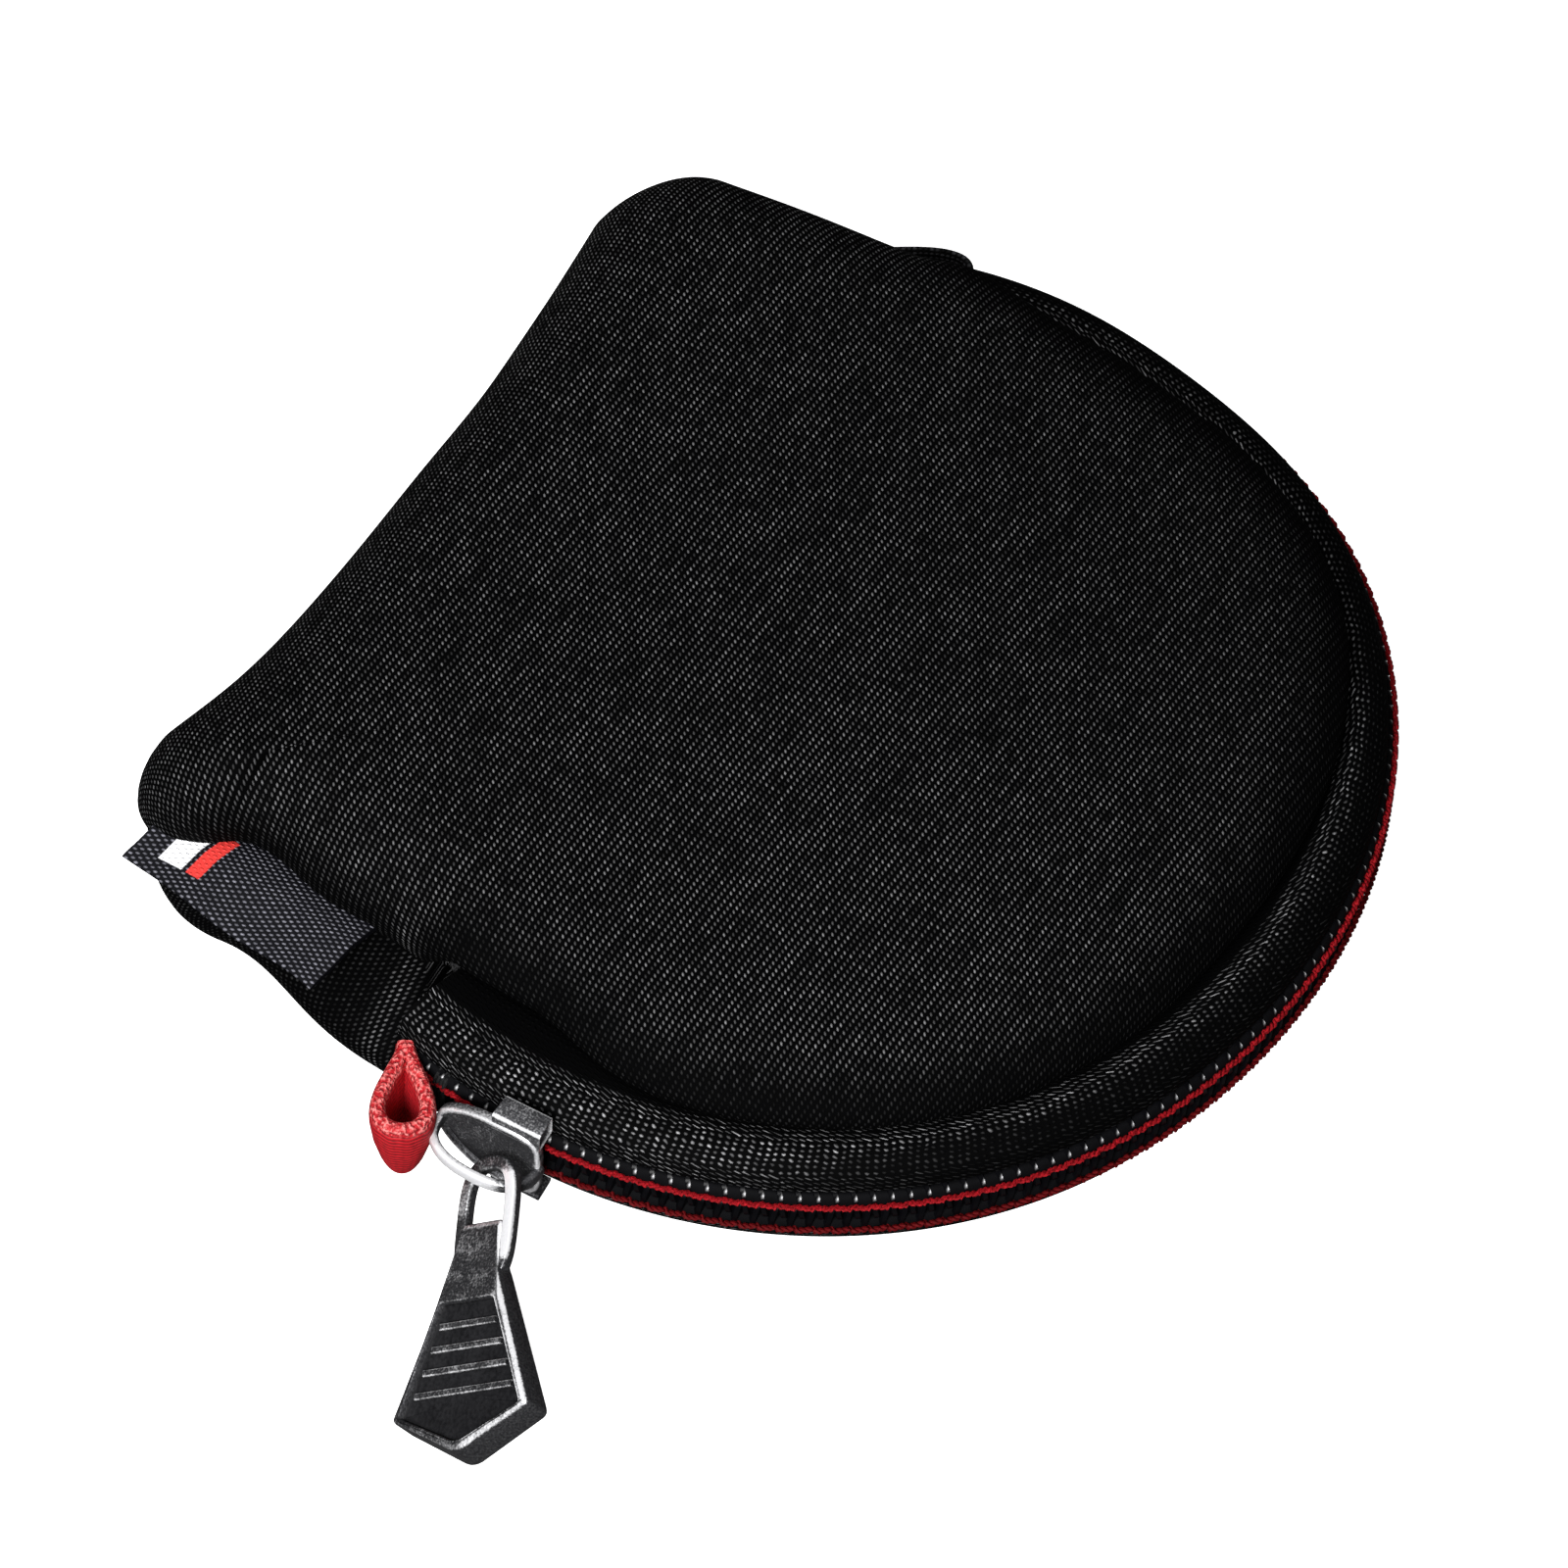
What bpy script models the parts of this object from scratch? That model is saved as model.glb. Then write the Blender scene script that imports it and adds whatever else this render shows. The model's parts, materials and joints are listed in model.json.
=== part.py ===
"""Zipped, padded pouch for a round camera filter: a D-shaped case of knit-faced foam.

Metres, +Z up. The case lies flat on its base. The origin is on the underside, below the
centre of the circle that the zip follows. The round, opening end points to -Y and the
folded spine to +Y. The slider, the loop and the label are on the -X side.
"""
import math

import bmesh
import bpy
from mathutils import Matrix, Vector

# Driving sizes of the case
CASE_THICKNESS = 0.0200
PAD_RADIUS = 0.0362          # plan outline of the padded halves round the opening end
SPINE_REACH = 0.0372         # from the zip circle's centre back to the spine's corners
SPINE_DIP = 0.0022           # how far the middle of the spine draws in
CORNER_RADIUS = 0.0085
CROWN_WIDTH = 0.0078         # width of the rounded border round each padded face
LID_CROWN_RISE = 0.0005      # puff of the lid's top above its border
SLIDER_ROOM = 0.0005         # from the resting slider's tail to the line where the lid bends
HINGE_GAP = 0.0003

# Walls, from the outside in
KNIT_THICKNESS = 0.0009
FOAM_THICKNESS = 0.0020
LINING_THICKNESS = 0.0004
LAYER_GAP = 0.0003
SEAM_GAP = 0.0003
SIDE_TUCK = 0.0026           # the sewn side seams draw in this far under the puffed sides
SIDE_BELLY = 0.0042          # height of the widest line of the sides above the seam
FOLD_BELLY = 0.0008
SEAM_CLEARANCE = 0.0022      # from the ends of the zip tape back to the start of the side seams
SEAM_FADE = 0.0020           # length over which the walls grow down to the side seam
ZIP_EDGE_HEIGHT = 0.0052     # the padded halves stop this far from the middle of the zip
ZIP_EDGE_ROLL = 0.00015

# Zip: a number 5 nylon coil, sewn to woven tape
TAPE_BAND = 0.0041           # from the pads' outline out to the edge of the coil's heels
COIL_PITCH = 0.00127
COIL_OVERRUN = 0.00064       # the coil runs this far past the resting slider's nose
COIL_DEPTH = 0.0014
COIL_INNER_EDGE = 0.0007     # from the middle of the zip to the coil's inner edge
COIL_WIDTH = 0.0019
COIL_HEEL_DROP = 0.0004
COIL_RIB_DEPTH = 0.0003
TAPE_THICKNESS = 0.0005
TAPE_COIL_GAP = 0.0003
TAPE_BEND = 0.0008
TAPE_TUCK = 0.0018           # how far the tape runs in under the padded edge
TAPE_STEP = 0.0032           # length of one straight facet along the tape
BINDING_STEP = 0.0046
TAPE_OVERRUN = 0.0021        # the tape runs this far past the coil's last turn
TAPE_PAD_GAP = 0.0003
THREAD_THICKNESS = 0.0003
THREAD_WIDTH = 0.0005
THREAD_GAP = 0.0003
THREAD_LINE = 0.0014         # from the middle of the zip to the row of red stitches
THREAD_WANDER = 0.00012
THREAD_STOP = 0.0010         # the stitches end this far before the coil does
BINDING_WIDTH = 0.0021
BINDING_THICKNESS = 0.0006
TACK_LENGTH = 0.0008
TACK_GAP = 0.0003
TACK_HEIGHT = 0.0024

# Slider
SLIDER_REST_ANGLE = math.radians(91.9)
SLIDER_LENGTH = 0.0080
SLIDER_SHOULDER = 0.0042     # half its width at the shoulders
SLIDER_TAIL = 0.0037
SLIDER_NOSE = 0.0016
SLIDER_PLATE = 0.0008
SLIDER_BACK_PLATE = 0.0010
SLIDER_BACK_HALF_WIDTH = 0.0038
SLIDER_GAP = 0.0003
FLANGE_THICKNESS = 0.0010
FLANGE_START = 0.0003
POST_THICKNESS = 0.0008
POST_LENGTH = 0.0020
BAIL_HALF_LENGTH = 0.0034
BAIL_RISE = 0.0032
BAIL_THICKNESS = 0.0008
BAIL_WIDTH = 0.0010

# Pull: a flat casting with a long eye, hung on the bail
PULL_OFFSET = 0.0016         # from the bail's middle towards the slider's tail
PULL_HEADING = math.radians(25.6)
PULL_DROOP = math.radians(17.3)
PULL_TWIST = math.radians(44.4)
PULL_GAP = 0.0003
PULL_ROD = 0.0009
EYE_HALF_WIDTH = 0.0026
EYE_TOP_HALF_WIDTH = 0.0014
EYE_THICKNESS = 0.0009
EYE_HOLE_HALF_WIDTH = 0.0018
EYE_HOLE_LENGTH = 0.0064
WAIST_REACH = 0.0073
WAIST_HALF_WIDTH = 0.0022
SHOULDER_REACH = 0.0171
SHOULDER_HALF_WIDTH = 0.0062
TIP_LENGTH = 0.0027          # from the shoulders to the tip
TIP_HALF_WIDTH = 0.0004
PADDLE_THICKNESS = 0.0020
RIM_WIDTH = 0.0009
RECESS_DEPTH = 0.0007
RECESS_START = 0.0088
INLAY_THICKNESS = 0.00035
INLAY_GAP = 0.0003

# Ribbon loop at the near end of the zip and folded tab at the far end
LOOP_RIBBON_WIDTH = 0.0068
LOOP_RIBBON_THICKNESS = 0.0011
LOOP_LENGTH = 0.0088
LOOP_HALF_WIDTH = 0.00145
LOOP_LEAN = math.radians(29.0)
LOOP_SETBACK = 0.0010        # the loop's root lies this far inside the coil's heels
LOOP_STANDOFF = 0.0065       # from the resting slider's nose to the loop's root
TAB_RIBBON_WIDTH = 0.0060
TAB_RIBBON_THICKNESS = 0.0009
TAB_LENGTH = 0.0064
TAB_HALF_WIDTH = 0.0018
TAB_LEAN = math.radians(-62.0)
TAB_STANDOFF = 0.0018        # from the pads' outline out to the tab's root

# Woven label caught in the near side seam
LABEL_LENGTH = 0.0182
LABEL_SPINE_MARGIN = 0.0032   # from the label's end to the spine's corner
LABEL_WIDTH = 0.0054
LABEL_THICKNESS = 0.0005
LABEL_SEAM_GAP = 0.0003
LABEL_DROOP = 0.0012
LABEL_DRIFT = 0.0012         # how far the label's free edge lies nearer the spine

OVERRUN = 0.0100             # how far a cutter runs past what it cuts

# Shares of a size, each with what it divides
DOME_SHARE = 0.5             # where the ring between the lid's border and its middle lies
LABEL_SHARES = (0.0, 0.35, 0.7, 1.0)
SLIDER_SHARES = (-1.0, -0.6, -0.2, 0.2, 0.5, 0.75, 0.9, 1.0)
BACK_PLATE_SHARES = (0.92, 0.96, 1.0, 1.0, 0.94, 0.78, 0.58, 0.4)
FLANGE_SHARES = (-0.95, -0.5, 0.0)
EYE_START_SHARE, EYE_NECK_SHARE, EYE_END_SHARE = 0.7, 0.85, 0.5
FINE_EDGE_SHARES, PLAIN_EDGE_SHARES = (1.0, 0.5), (1.0,)
FINE_CROWN_STEPS, PLAIN_CROWN_STEPS = 4, 2

FRONT_STEPS = 24
SIDE_STEPS = 5
CORNER_STEPS = 4
SPINE_STEPS = 8
BAIL_STEPS = 12
LOOP_STEPS = 18
SIDES_OF_BAIL = 8

MID = CASE_THICKNESS / 2
ZIP_RADIUS = PAD_RADIUS + TAPE_BAND
TAPE_OUTER_RADIUS = ZIP_RADIUS - TAPE_COIL_GAP - COIL_HEEL_DROP
COIL_INNER_RADIUS = TAPE_OUTER_RADIUS + TAPE_COIL_GAP
COIL_OUTER_RADIUS = COIL_INNER_RADIUS + COIL_DEPTH
COIL_OUTER_EDGE = COIL_INNER_EDGE + COIL_WIDTH
THREAD_INNER_RADIUS = COIL_OUTER_RADIUS + THREAD_GAP
THREAD_OUTER_RADIUS = THREAD_INNER_RADIUS + THREAD_THICKNESS
PLATE_INNER_RADIUS = THREAD_OUTER_RADIUS + SLIDER_GAP
PLATE_OUTER_RADIUS = PLATE_INNER_RADIUS + SLIDER_PLATE
BACK_PLATE_OUTER_RADIUS = TAPE_OUTER_RADIUS - TAPE_THICKNESS - SLIDER_GAP
BACK_PLATE_INNER_RADIUS = BACK_PLATE_OUTER_RADIUS - SLIDER_BACK_PLATE
TAPE_TOP = ZIP_EDGE_HEIGHT - TAPE_PAD_GAP
SLIDER_NOSE_ANGLE = SLIDER_REST_ANGLE + SLIDER_LENGTH / 2 / ZIP_RADIUS
COIL_HALF_ANGLE = SLIDER_NOSE_ANGLE + COIL_OVERRUN / ZIP_RADIUS
TAPE_HALF_ANGLE = COIL_HALF_ANGLE + TAPE_OVERRUN / ZIP_RADIUS
SEAM_REACH = SEAM_CLEARANCE - ZIP_RADIUS * math.cos(TAPE_HALF_ANGLE)
LOOP_ROOT_ANGLE = SLIDER_NOSE_ANGLE + LOOP_STANDOFF / ZIP_RADIUS
LABEL_START = SPINE_REACH - LABEL_SPINE_MARGIN - LABEL_LENGTH
TIP_REACH = SHOULDER_REACH + TIP_LENGTH
SLIDER_TAIL_ANGLE = SLIDER_REST_ANGLE - SLIDER_LENGTH / 2 / ZIP_RADIUS
HINGE_REACH = -PLATE_OUTER_RADIUS * math.cos(SLIDER_TAIL_ANGLE) - SLIDER_ROOM
UP, DOWN = 1, -1
NEAR, FAR = -1, 1


def clear_scene():
    """Remove every object that the new file came with."""
    for thing in list(bpy.data.objects):
        bpy.data.objects.remove(thing, do_unlink=True)


def make_material(name, colour, roughness, metallic=0.0):
    """A plain surface with the piece's colour, roughness and metallic value."""
    material = bpy.data.materials.new(name)
    material.use_nodes = True
    shader = material.node_tree.nodes["Principled BSDF"]
    shader.inputs["Base Color"].default_value = (*colour, 1.0)
    shader.inputs["Roughness"].default_value = roughness
    shader.inputs["Metallic"].default_value = metallic
    return material


def make_object(name, vertices, faces, material, carrier=None):
    """One closed mesh with its faces pointing out, in world places or its carrier's own."""
    mesh = bpy.data.meshes.new(name)
    mesh.from_pydata([tuple(v) for v in vertices], [], faces)
    work = bmesh.new()
    work.from_mesh(mesh)
    bmesh.ops.recalc_face_normals(work, faces=work.faces)
    work.to_mesh(mesh)
    work.free()
    mesh.materials.append(material)
    mesh.update()
    thing = bpy.data.objects.new(name, mesh)
    bpy.context.scene.collection.objects.link(thing)
    thing.parent = carrier
    return thing


def make_cutter(name, vertices, faces, carrier=None):
    """A guide solid for a Boolean, which isn't part of the model."""
    cutter = make_object(name, vertices, faces, make_material(name, (0.5, 0.5, 0.5), 0.5), carrier)
    cutter.hide_render = True
    cutter.display_type = "WIRE"
    return cutter


def make_empty(name, matrix, parent=None):
    """An axis or a pivot that moving pieces are parented to, placed in its parent's frame."""
    empty = bpy.data.objects.new(name, None)
    bpy.context.scene.collection.objects.link(empty)
    empty.parent = parent
    empty.matrix_basis = matrix
    return empty


def add_boolean(thing, cutter, operation):
    """Join or cut with the exact solver."""
    modifier = thing.modifiers.new(cutter.name, "BOOLEAN")
    modifier.operation = operation
    modifier.solver = "EXACT"
    modifier.object = cutter


def loft(rings, closed=False):
    """Faces through a row of rings with equal point counts, capped unless the row closes."""
    count = len(rings[0])
    vertices = [point for ring in rings for point in ring]
    faces = []
    spans = len(rings) if closed else len(rings) - 1
    for span in range(spans):
        here = span * count
        there = (span + 1) % len(rings) * count
        for step in range(count):
            after = (step + 1) % count
            faces.append((here + step, here + after, there + after, there + step))
    if not closed:
        faces.append(tuple(range(count))[::-1])
        faces.append(tuple(range(len(vertices) - count, len(vertices))))
    return vertices, faces


def on_arc(radius, angle, height):
    """A point round the zip circle; angle 0 is the front, a plus angle is the far side."""
    return (radius * math.sin(angle), -radius * math.cos(angle), MID + height)


def sweep_arc(profile, start, end, pitch, side):
    """Carry a (radius, height) outline round the zip circle, above or below its middle.

    It runs from one angle to another in equal steps of about pitch, measured at the coil.
    """
    steps = max(round((end - start) * ZIP_RADIUS / pitch), 2)
    rings = []
    for step in range(steps + 1):
        angle = start + (end - start) * step / steps
        rings.append([on_arc(radius, angle, side * height) for radius, height in profile])
    return loft(rings)


def zip_stretches(half_angle):
    """The stretches of one side of the zip: (body part, side of the middle, start, end).

    The lower side is whole. The upper side is parted at the line where the lid bends: the
    slider always covers one of its two short ends, and those stay with the rear panel.
    """
    bend = math.acos(-HINGE_REACH / TAPE_OUTER_RADIUS)
    gap = HINGE_GAP / 2 / ZIP_RADIUS
    return (
        ("base", DOWN, -half_angle, half_angle),
        ("lid", UP, -bend + gap, bend - gap),
        ("near_end", UP, -half_angle, -bend - gap),
        ("far_end", UP, bend + gap, half_angle),
    )


def fade(value, start, length):
    """0 before start, 1 past start + length, and smooth between them."""
    share = min(max((value - start) / length, 0.0), 1.0)
    return share * share * (3 - 2 * share)


def plan_stations():
    """The stations round the D-shaped outline, each with its own rule for a point.

    Each is (rule, place, fold weight): the fold weight is 1 along the spine, where the
    cover folds over with no seam, and 0 on the sides.
    """
    stations = []
    for step in range(FRONT_STEPS + 1):
        stations.append(("front", math.pi * (step / FRONT_STEPS - 0.5), 0.0))
    side_end = SPINE_REACH - CORNER_RADIUS
    side_places = [SEAM_REACH, SEAM_REACH + SEAM_FADE]
    for step in range(1, SIDE_STEPS - 1):
        side_places.append(side_places[1] + (side_end - side_places[1]) * step / (SIDE_STEPS - 1))
    stations += [("far side", place, 0.0) for place in side_places]
    for step in range(CORNER_STEPS + 1):
        share = step / CORNER_STEPS
        stations.append(("far corner", share * math.pi / 2, fade(share, 0.0, 1.0)))
    for step in range(1, SPINE_STEPS):
        stations.append(("spine", 1 - 2 * step / SPINE_STEPS, 1.0))
    for step in range(CORNER_STEPS + 1):
        share = 1 - step / CORNER_STEPS
        stations.append(("near corner", share * math.pi / 2, fade(share, 0.0, 1.0)))
    stations += [("near side", place, 0.0) for place in reversed(side_places)]
    return stations


def plan_point(station, inset):
    """Where a station lies when the outline is drawn in by inset."""
    rule, place, _ = station
    if rule == "front":
        radius = PAD_RADIUS - inset
        return radius * math.sin(place), -radius * math.cos(place)
    if rule == "spine":
        reach = SPINE_REACH - inset - SPINE_DIP * (1 - place * place)
        return (PAD_RADIUS - CORNER_RADIUS) * place, reach
    sign = FAR if rule.startswith("far") else NEAR
    if rule.endswith("side"):
        return sign * (PAD_RADIUS - inset), place
    radius = CORNER_RADIUS - inset
    across = PAD_RADIUS - CORNER_RADIUS + radius * math.cos(place)
    return sign * across, SPINE_REACH - CORNER_RADIUS + radius * math.sin(place)


def wall_rings(depth, edge_shares, crown_steps, rise, side, dome):
    """Rings of one surface of a padded half, depth below its outer face, from edge to top."""
    rings = []
    stations = plan_stations()
    half = CASE_THICKNESS / 2
    measures = []
    for station in stations:
        reach = plan_point(station, 0.0)[1]
        seam = fade(reach, SEAM_REACH, SEAM_FADE) if station[0] != "front" else 0.0
        belly = FOLD_BELLY * station[2] + SIDE_BELLY * (1 - station[2])
        belly = belly * seam + (ZIP_EDGE_HEIGHT + ZIP_EDGE_ROLL) * (1 - seam)
        edge = SEAM_GAP / 2 * seam + ZIP_EDGE_HEIGHT * (1 - seam)
        tuck = SIDE_TUCK * seam * (1 - station[2])
        measures.append((station, belly, edge, tuck))
    for share in edge_shares:
        ring = []
        for station, belly, edge, tuck in measures:
            across, along = plan_point(station, depth + tuck * share * share)
            ring.append((across, along, MID + side * (belly - (belly - edge) * share)))
        rings.append(ring)
    for step in range(crown_steps + 1):
        turn = math.pi / 2 * step / crown_steps
        ring = []
        for station, belly, _, _ in measures:
            inset = depth + (CROWN_WIDTH - depth) * (1 - math.cos(turn))
            height = belly + (half - rise - depth - belly) * math.sin(turn)
            across, along = plan_point(station, inset)
            ring.append((across, along, MID + side * height))
        rings.append(ring)
    centre = (0.0, 0.0, MID + side * (half - depth))
    if dome:
        ring = []
        for across, along, height in rings[-1]:
            lift = side * rise * (1 - DOME_SHARE * DOME_SHARE)
            ring.append((across * (1 - DOME_SHARE), along * (1 - DOME_SHARE), height + lift))
        rings.append(ring)
    return rings, centre


def padded_wall(outer_depth, thickness, side, edge_shares, crown_steps, rise, dome):
    """One layer of a padded half: a tray with an outer and an inner face and a rim.

    Both faces split their quads along the same diagonal, so that nested layers keep apart.
    """
    outer, outer_top = wall_rings(outer_depth, edge_shares, crown_steps, rise, side, dome)
    inner, inner_top = wall_rings(outer_depth + thickness, edge_shares, crown_steps, rise, side, dome)
    rings = outer[::-1] + inner
    vertices = [point for ring in rings for point in ring]
    faces = []
    count = len(rings[0])
    for span in range(len(rings) - 1):
        for step in range(count):
            after = (step + 1) % count
            here, there = span * count, (span + 1) * count
            if span < len(outer):
                faces += [(here + step, here + after, there + step),
                          (here + after, there + after, there + step)]
            else:
                faces += [(here + step, here + after, there + after),
                          (here + step, there + after, there + step)]
    for first, top in ((0, outer_top), (len(vertices) - count, inner_top)):
        vertices.append(top)
        pole = len(vertices) - 1
        for step in range(count):
            faces.append((first + step, first + (step + 1) % count, pole))
    return vertices, faces


def box_corners(low, high):
    """A plain block between two corners."""
    corners = [(x, y, z) for x in (low[0], high[0]) for y in (low[1], high[1]) for z in (low[2], high[2])]
    faces = [(0, 1, 3, 2), (4, 6, 7, 5), (0, 4, 5, 1), (2, 3, 7, 6), (0, 2, 6, 4), (1, 5, 7, 3)]
    return corners, faces


def build_padding(materials):
    """The padded base and lid: knit cover, foam core and lining, nested with small gaps.

    The upper half is parted just in front of the resting slider. Its front part is the lid,
    and its rear part stays sewn to the base at the side seams and the spine.
    """
    reach = PAD_RADIUS + OVERRUN
    back = SPINE_REACH + OVERRUN
    top = CASE_THICKNESS + OVERRUN
    rear_cut = make_cutter("rear_cut", *box_corners((-reach, HINGE_REACH - HINGE_GAP / 2, -OVERRUN),
                                                    (reach, back, top)))
    front_cut = make_cutter("front_cut", *box_corners((-reach, -reach, -OVERRUN),
                                                      (reach, HINGE_REACH + HINGE_GAP / 2, top)))
    foam_depth = KNIT_THICKNESS + LAYER_GAP
    lining_depth = foam_depth + FOAM_THICKNESS + LAYER_GAP
    layers = (
        ("outer_panel", 0.0, KNIT_THICKNESS, FINE_EDGE_SHARES, FINE_CROWN_STEPS, True, "knit"),
        ("foam_core", foam_depth, FOAM_THICKNESS, PLAIN_EDGE_SHARES, PLAIN_CROWN_STEPS, False, "foam"),
        ("lining", lining_depth, LINING_THICKNESS, PLAIN_EDGE_SHARES, PLAIN_CROWN_STEPS, False, "lining"),
    )
    for layer, depth, thickness, edge_shares, steps, dome, cloth in layers:
        material = materials[cloth]
        base = padded_wall(depth, thickness, DOWN, edge_shares, steps, 0.0, False)
        make_object("base_" + layer, *base, material)
        upper = padded_wall(depth, thickness, UP, edge_shares, steps, LID_CROWN_RISE, dome)
        lid = make_object("lid_" + layer, *upper, material)
        add_boolean(lid, rear_cut, "DIFFERENCE")
        rear = make_object("rear_" + layer, *upper, material)
        add_boolean(rear, front_cut, "DIFFERENCE")


def build_tape(material):
    """Woven zip tape: it leaves the padded edge flat, then turns to carry the coil."""
    inner = TAPE_OUTER_RADIUS - TAPE_THICKNESS
    under = TAPE_TOP - TAPE_THICKNESS
    root = PAD_RADIUS - TAPE_TUCK
    profile = [
        (root, TAPE_TOP),
        (TAPE_OUTER_RADIUS - TAPE_BEND, TAPE_TOP),
        (TAPE_OUTER_RADIUS, TAPE_TOP - TAPE_BEND),
        (TAPE_OUTER_RADIUS, COIL_INNER_EDGE),
        (inner, COIL_INNER_EDGE),
        (inner, under - TAPE_BEND + TAPE_THICKNESS / 2),
        (inner - TAPE_BEND + TAPE_THICKNESS / 2, under),
        (root, under),
    ]
    for part, side, start, end in zip_stretches(TAPE_HALF_ANGLE):
        make_object(part + "_zip_tape", *sweep_arc(profile, start, end, TAPE_STEP, side), material)


def build_coil(material):
    """The nylon coil: for each side, a strip with a rib for each turn of the monofilament."""
    for part, side, start, end in zip_stretches(COIL_HALF_ANGLE):
        turns = int((end - start) * COIL_OUTER_RADIUS / COIL_PITCH)
        rings = []
        for step in range(2 * turns + 1):
            angle = start + (end - start) * step / (2 * turns)
            sink = COIL_RIB_DEPTH * (step % 2 == 0)
            outer = COIL_OUTER_RADIUS - sink
            profile = [
                (COIL_INNER_RADIUS, COIL_INNER_EDGE),
                (outer, COIL_INNER_EDGE + sink),
                (outer - COIL_HEEL_DROP, COIL_OUTER_EDGE - sink),
                (COIL_INNER_RADIUS, COIL_OUTER_EDGE - sink),
            ]
            rings.append([on_arc(radius, angle, side * height) for radius, height in profile])
        make_object(part + "_zip_coil", *loft(rings), material)


def build_stitching(material):
    """The red thread that sews the coil down: a narrow strand that wanders turn by turn."""
    low = THREAD_LINE - THREAD_WIDTH / 2
    for part, side, start, end in zip_stretches(COIL_HALF_ANGLE - THREAD_STOP / THREAD_OUTER_RADIUS):
        steps = int((end - start) * COIL_OUTER_RADIUS / COIL_PITCH / 2)
        rings = []
        for step in range(steps + 1):
            angle = start + (end - start) * step / steps
            shift = THREAD_WANDER * (-1) ** step
            heights = (low + shift, low + shift + THREAD_WIDTH)
            corners = [(THREAD_INNER_RADIUS, heights[0]), (THREAD_OUTER_RADIUS, heights[0]),
                       (THREAD_OUTER_RADIUS, heights[1]), (THREAD_INNER_RADIUS, heights[1])]
            rings.append([on_arc(radius, angle, side * height) for radius, height in corners])
        make_object(part + "_zip_stitching", *loft(rings), material)


def build_binding(material):
    """Bias tape that covers the raw edges inside, where tape, foam and lining are sewn."""
    outer = PAD_RADIUS - TAPE_TUCK - TAPE_PAD_GAP
    profile = [(outer - BINDING_WIDTH, TAPE_TOP), (outer, TAPE_TOP),
               (outer, TAPE_TOP - BINDING_THICKNESS), (outer - BINDING_WIDTH, TAPE_TOP - BINDING_THICKNESS)]
    for part, side, start, end in zip_stretches(COIL_HALF_ANGLE):
        make_object(part + "_seam_binding", *sweep_arc(profile, start, end, BINDING_STEP, side), material)


def build_bar_tack(name, end, material):
    """Dense stitches across both tapes just past the last turn of the coil."""
    start = COIL_HALF_ANGLE + TACK_GAP / ZIP_RADIUS
    rings = []
    for angle in (start, start + TACK_LENGTH / ZIP_RADIUS):
        rings.append([on_arc(radius, end * angle, height) for radius, height in (
            (COIL_INNER_RADIUS, -TACK_HEIGHT), (COIL_OUTER_RADIUS, -TACK_HEIGHT),
            (COIL_OUTER_RADIUS, TACK_HEIGHT), (COIL_INNER_RADIUS, TACK_HEIGHT))])
    make_object(name, *loft(rings), material)


def build_zip(materials):
    """Both halves of the zip, with what sews them in."""
    build_tape(materials["tape"])
    build_coil(materials["coil"])
    build_stitching(materials["thread"])
    build_binding(materials["tape"])
    build_bar_tack("near_bar_tack", NEAR, materials["tape"])
    build_bar_tack("far_bar_tack", FAR, materials["tape"])


def ribbon_start(half_width, thickness):
    """The turn at which the ribbon's two layers clear each other by a seam gap."""
    widest = 2 * math.pi / 3
    share = (thickness + SEAM_GAP) / 2 / half_width * math.sin(widest) * (1 - math.cos(widest))
    return (2 * share) ** (1 / 3)


def ribbon_loop(name, root, heading, length, half_width, width, thickness, material):
    """A ribbon folded back on itself and caught in the seam: a teardrop seen from above.

    Its middle line is length * (1 - cos t) / 2 forward and, in shares of its widest,
    sin t * (1 - cos t) to the side, so that its two ends lie close together in the seam.
    """
    along = Vector((math.cos(heading), math.sin(heading)))
    across = Vector((-along.y, along.x))
    start = ribbon_start(half_width, thickness)
    widest = 2 * math.pi / 3
    outline = []
    for step in range(LOOP_STEPS + 1):
        turn = start + (2 * math.pi - 2 * start) * step / LOOP_STEPS
        forward = length * (1 - math.cos(turn)) / 2
        sideways = half_width * math.sin(turn) * (1 - math.cos(turn))
        sideways /= math.sin(widest) * (1 - math.cos(widest))
        outline.append(Vector(root) + along * forward + across * sideways)
    rings = []
    for step, point in enumerate(outline):
        before = outline[max(step - 1, 0)]
        after = outline[min(step + 1, LOOP_STEPS)]
        direction = (after - before).normalized()
        normal = Vector((direction.y, -direction.x)) * thickness / 2
        inside, outside = point - normal, point + normal
        rings.append([(inside.x, inside.y, MID - width / 2), (outside.x, outside.y, MID - width / 2),
                      (outside.x, outside.y, MID + width / 2), (inside.x, inside.y, MID + width / 2)])
    make_object(name, *loft(rings), material)


def build_ribbons(materials):
    """The red loop at the near end of the zip and the plain tab at its far end."""
    root = on_arc(ZIP_RADIUS - LOOP_SETBACK, NEAR * LOOP_ROOT_ANGLE, 0.0)[:2]
    ribbon_loop("near_loop", root, math.pi + LOOP_LEAN, LOOP_LENGTH, LOOP_HALF_WIDTH,
                LOOP_RIBBON_WIDTH, LOOP_RIBBON_THICKNESS, materials["ribbon"])
    root = on_arc(PAD_RADIUS + TAB_STANDOFF, FAR * LOOP_ROOT_ANGLE, 0.0)[:2]
    ribbon_loop("far_tab", root, -TAB_LEAN, TAB_LENGTH, TAB_HALF_WIDTH,
                TAB_RIBBON_WIDTH, TAB_RIBBON_THICKNESS, materials["tape"])


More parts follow.
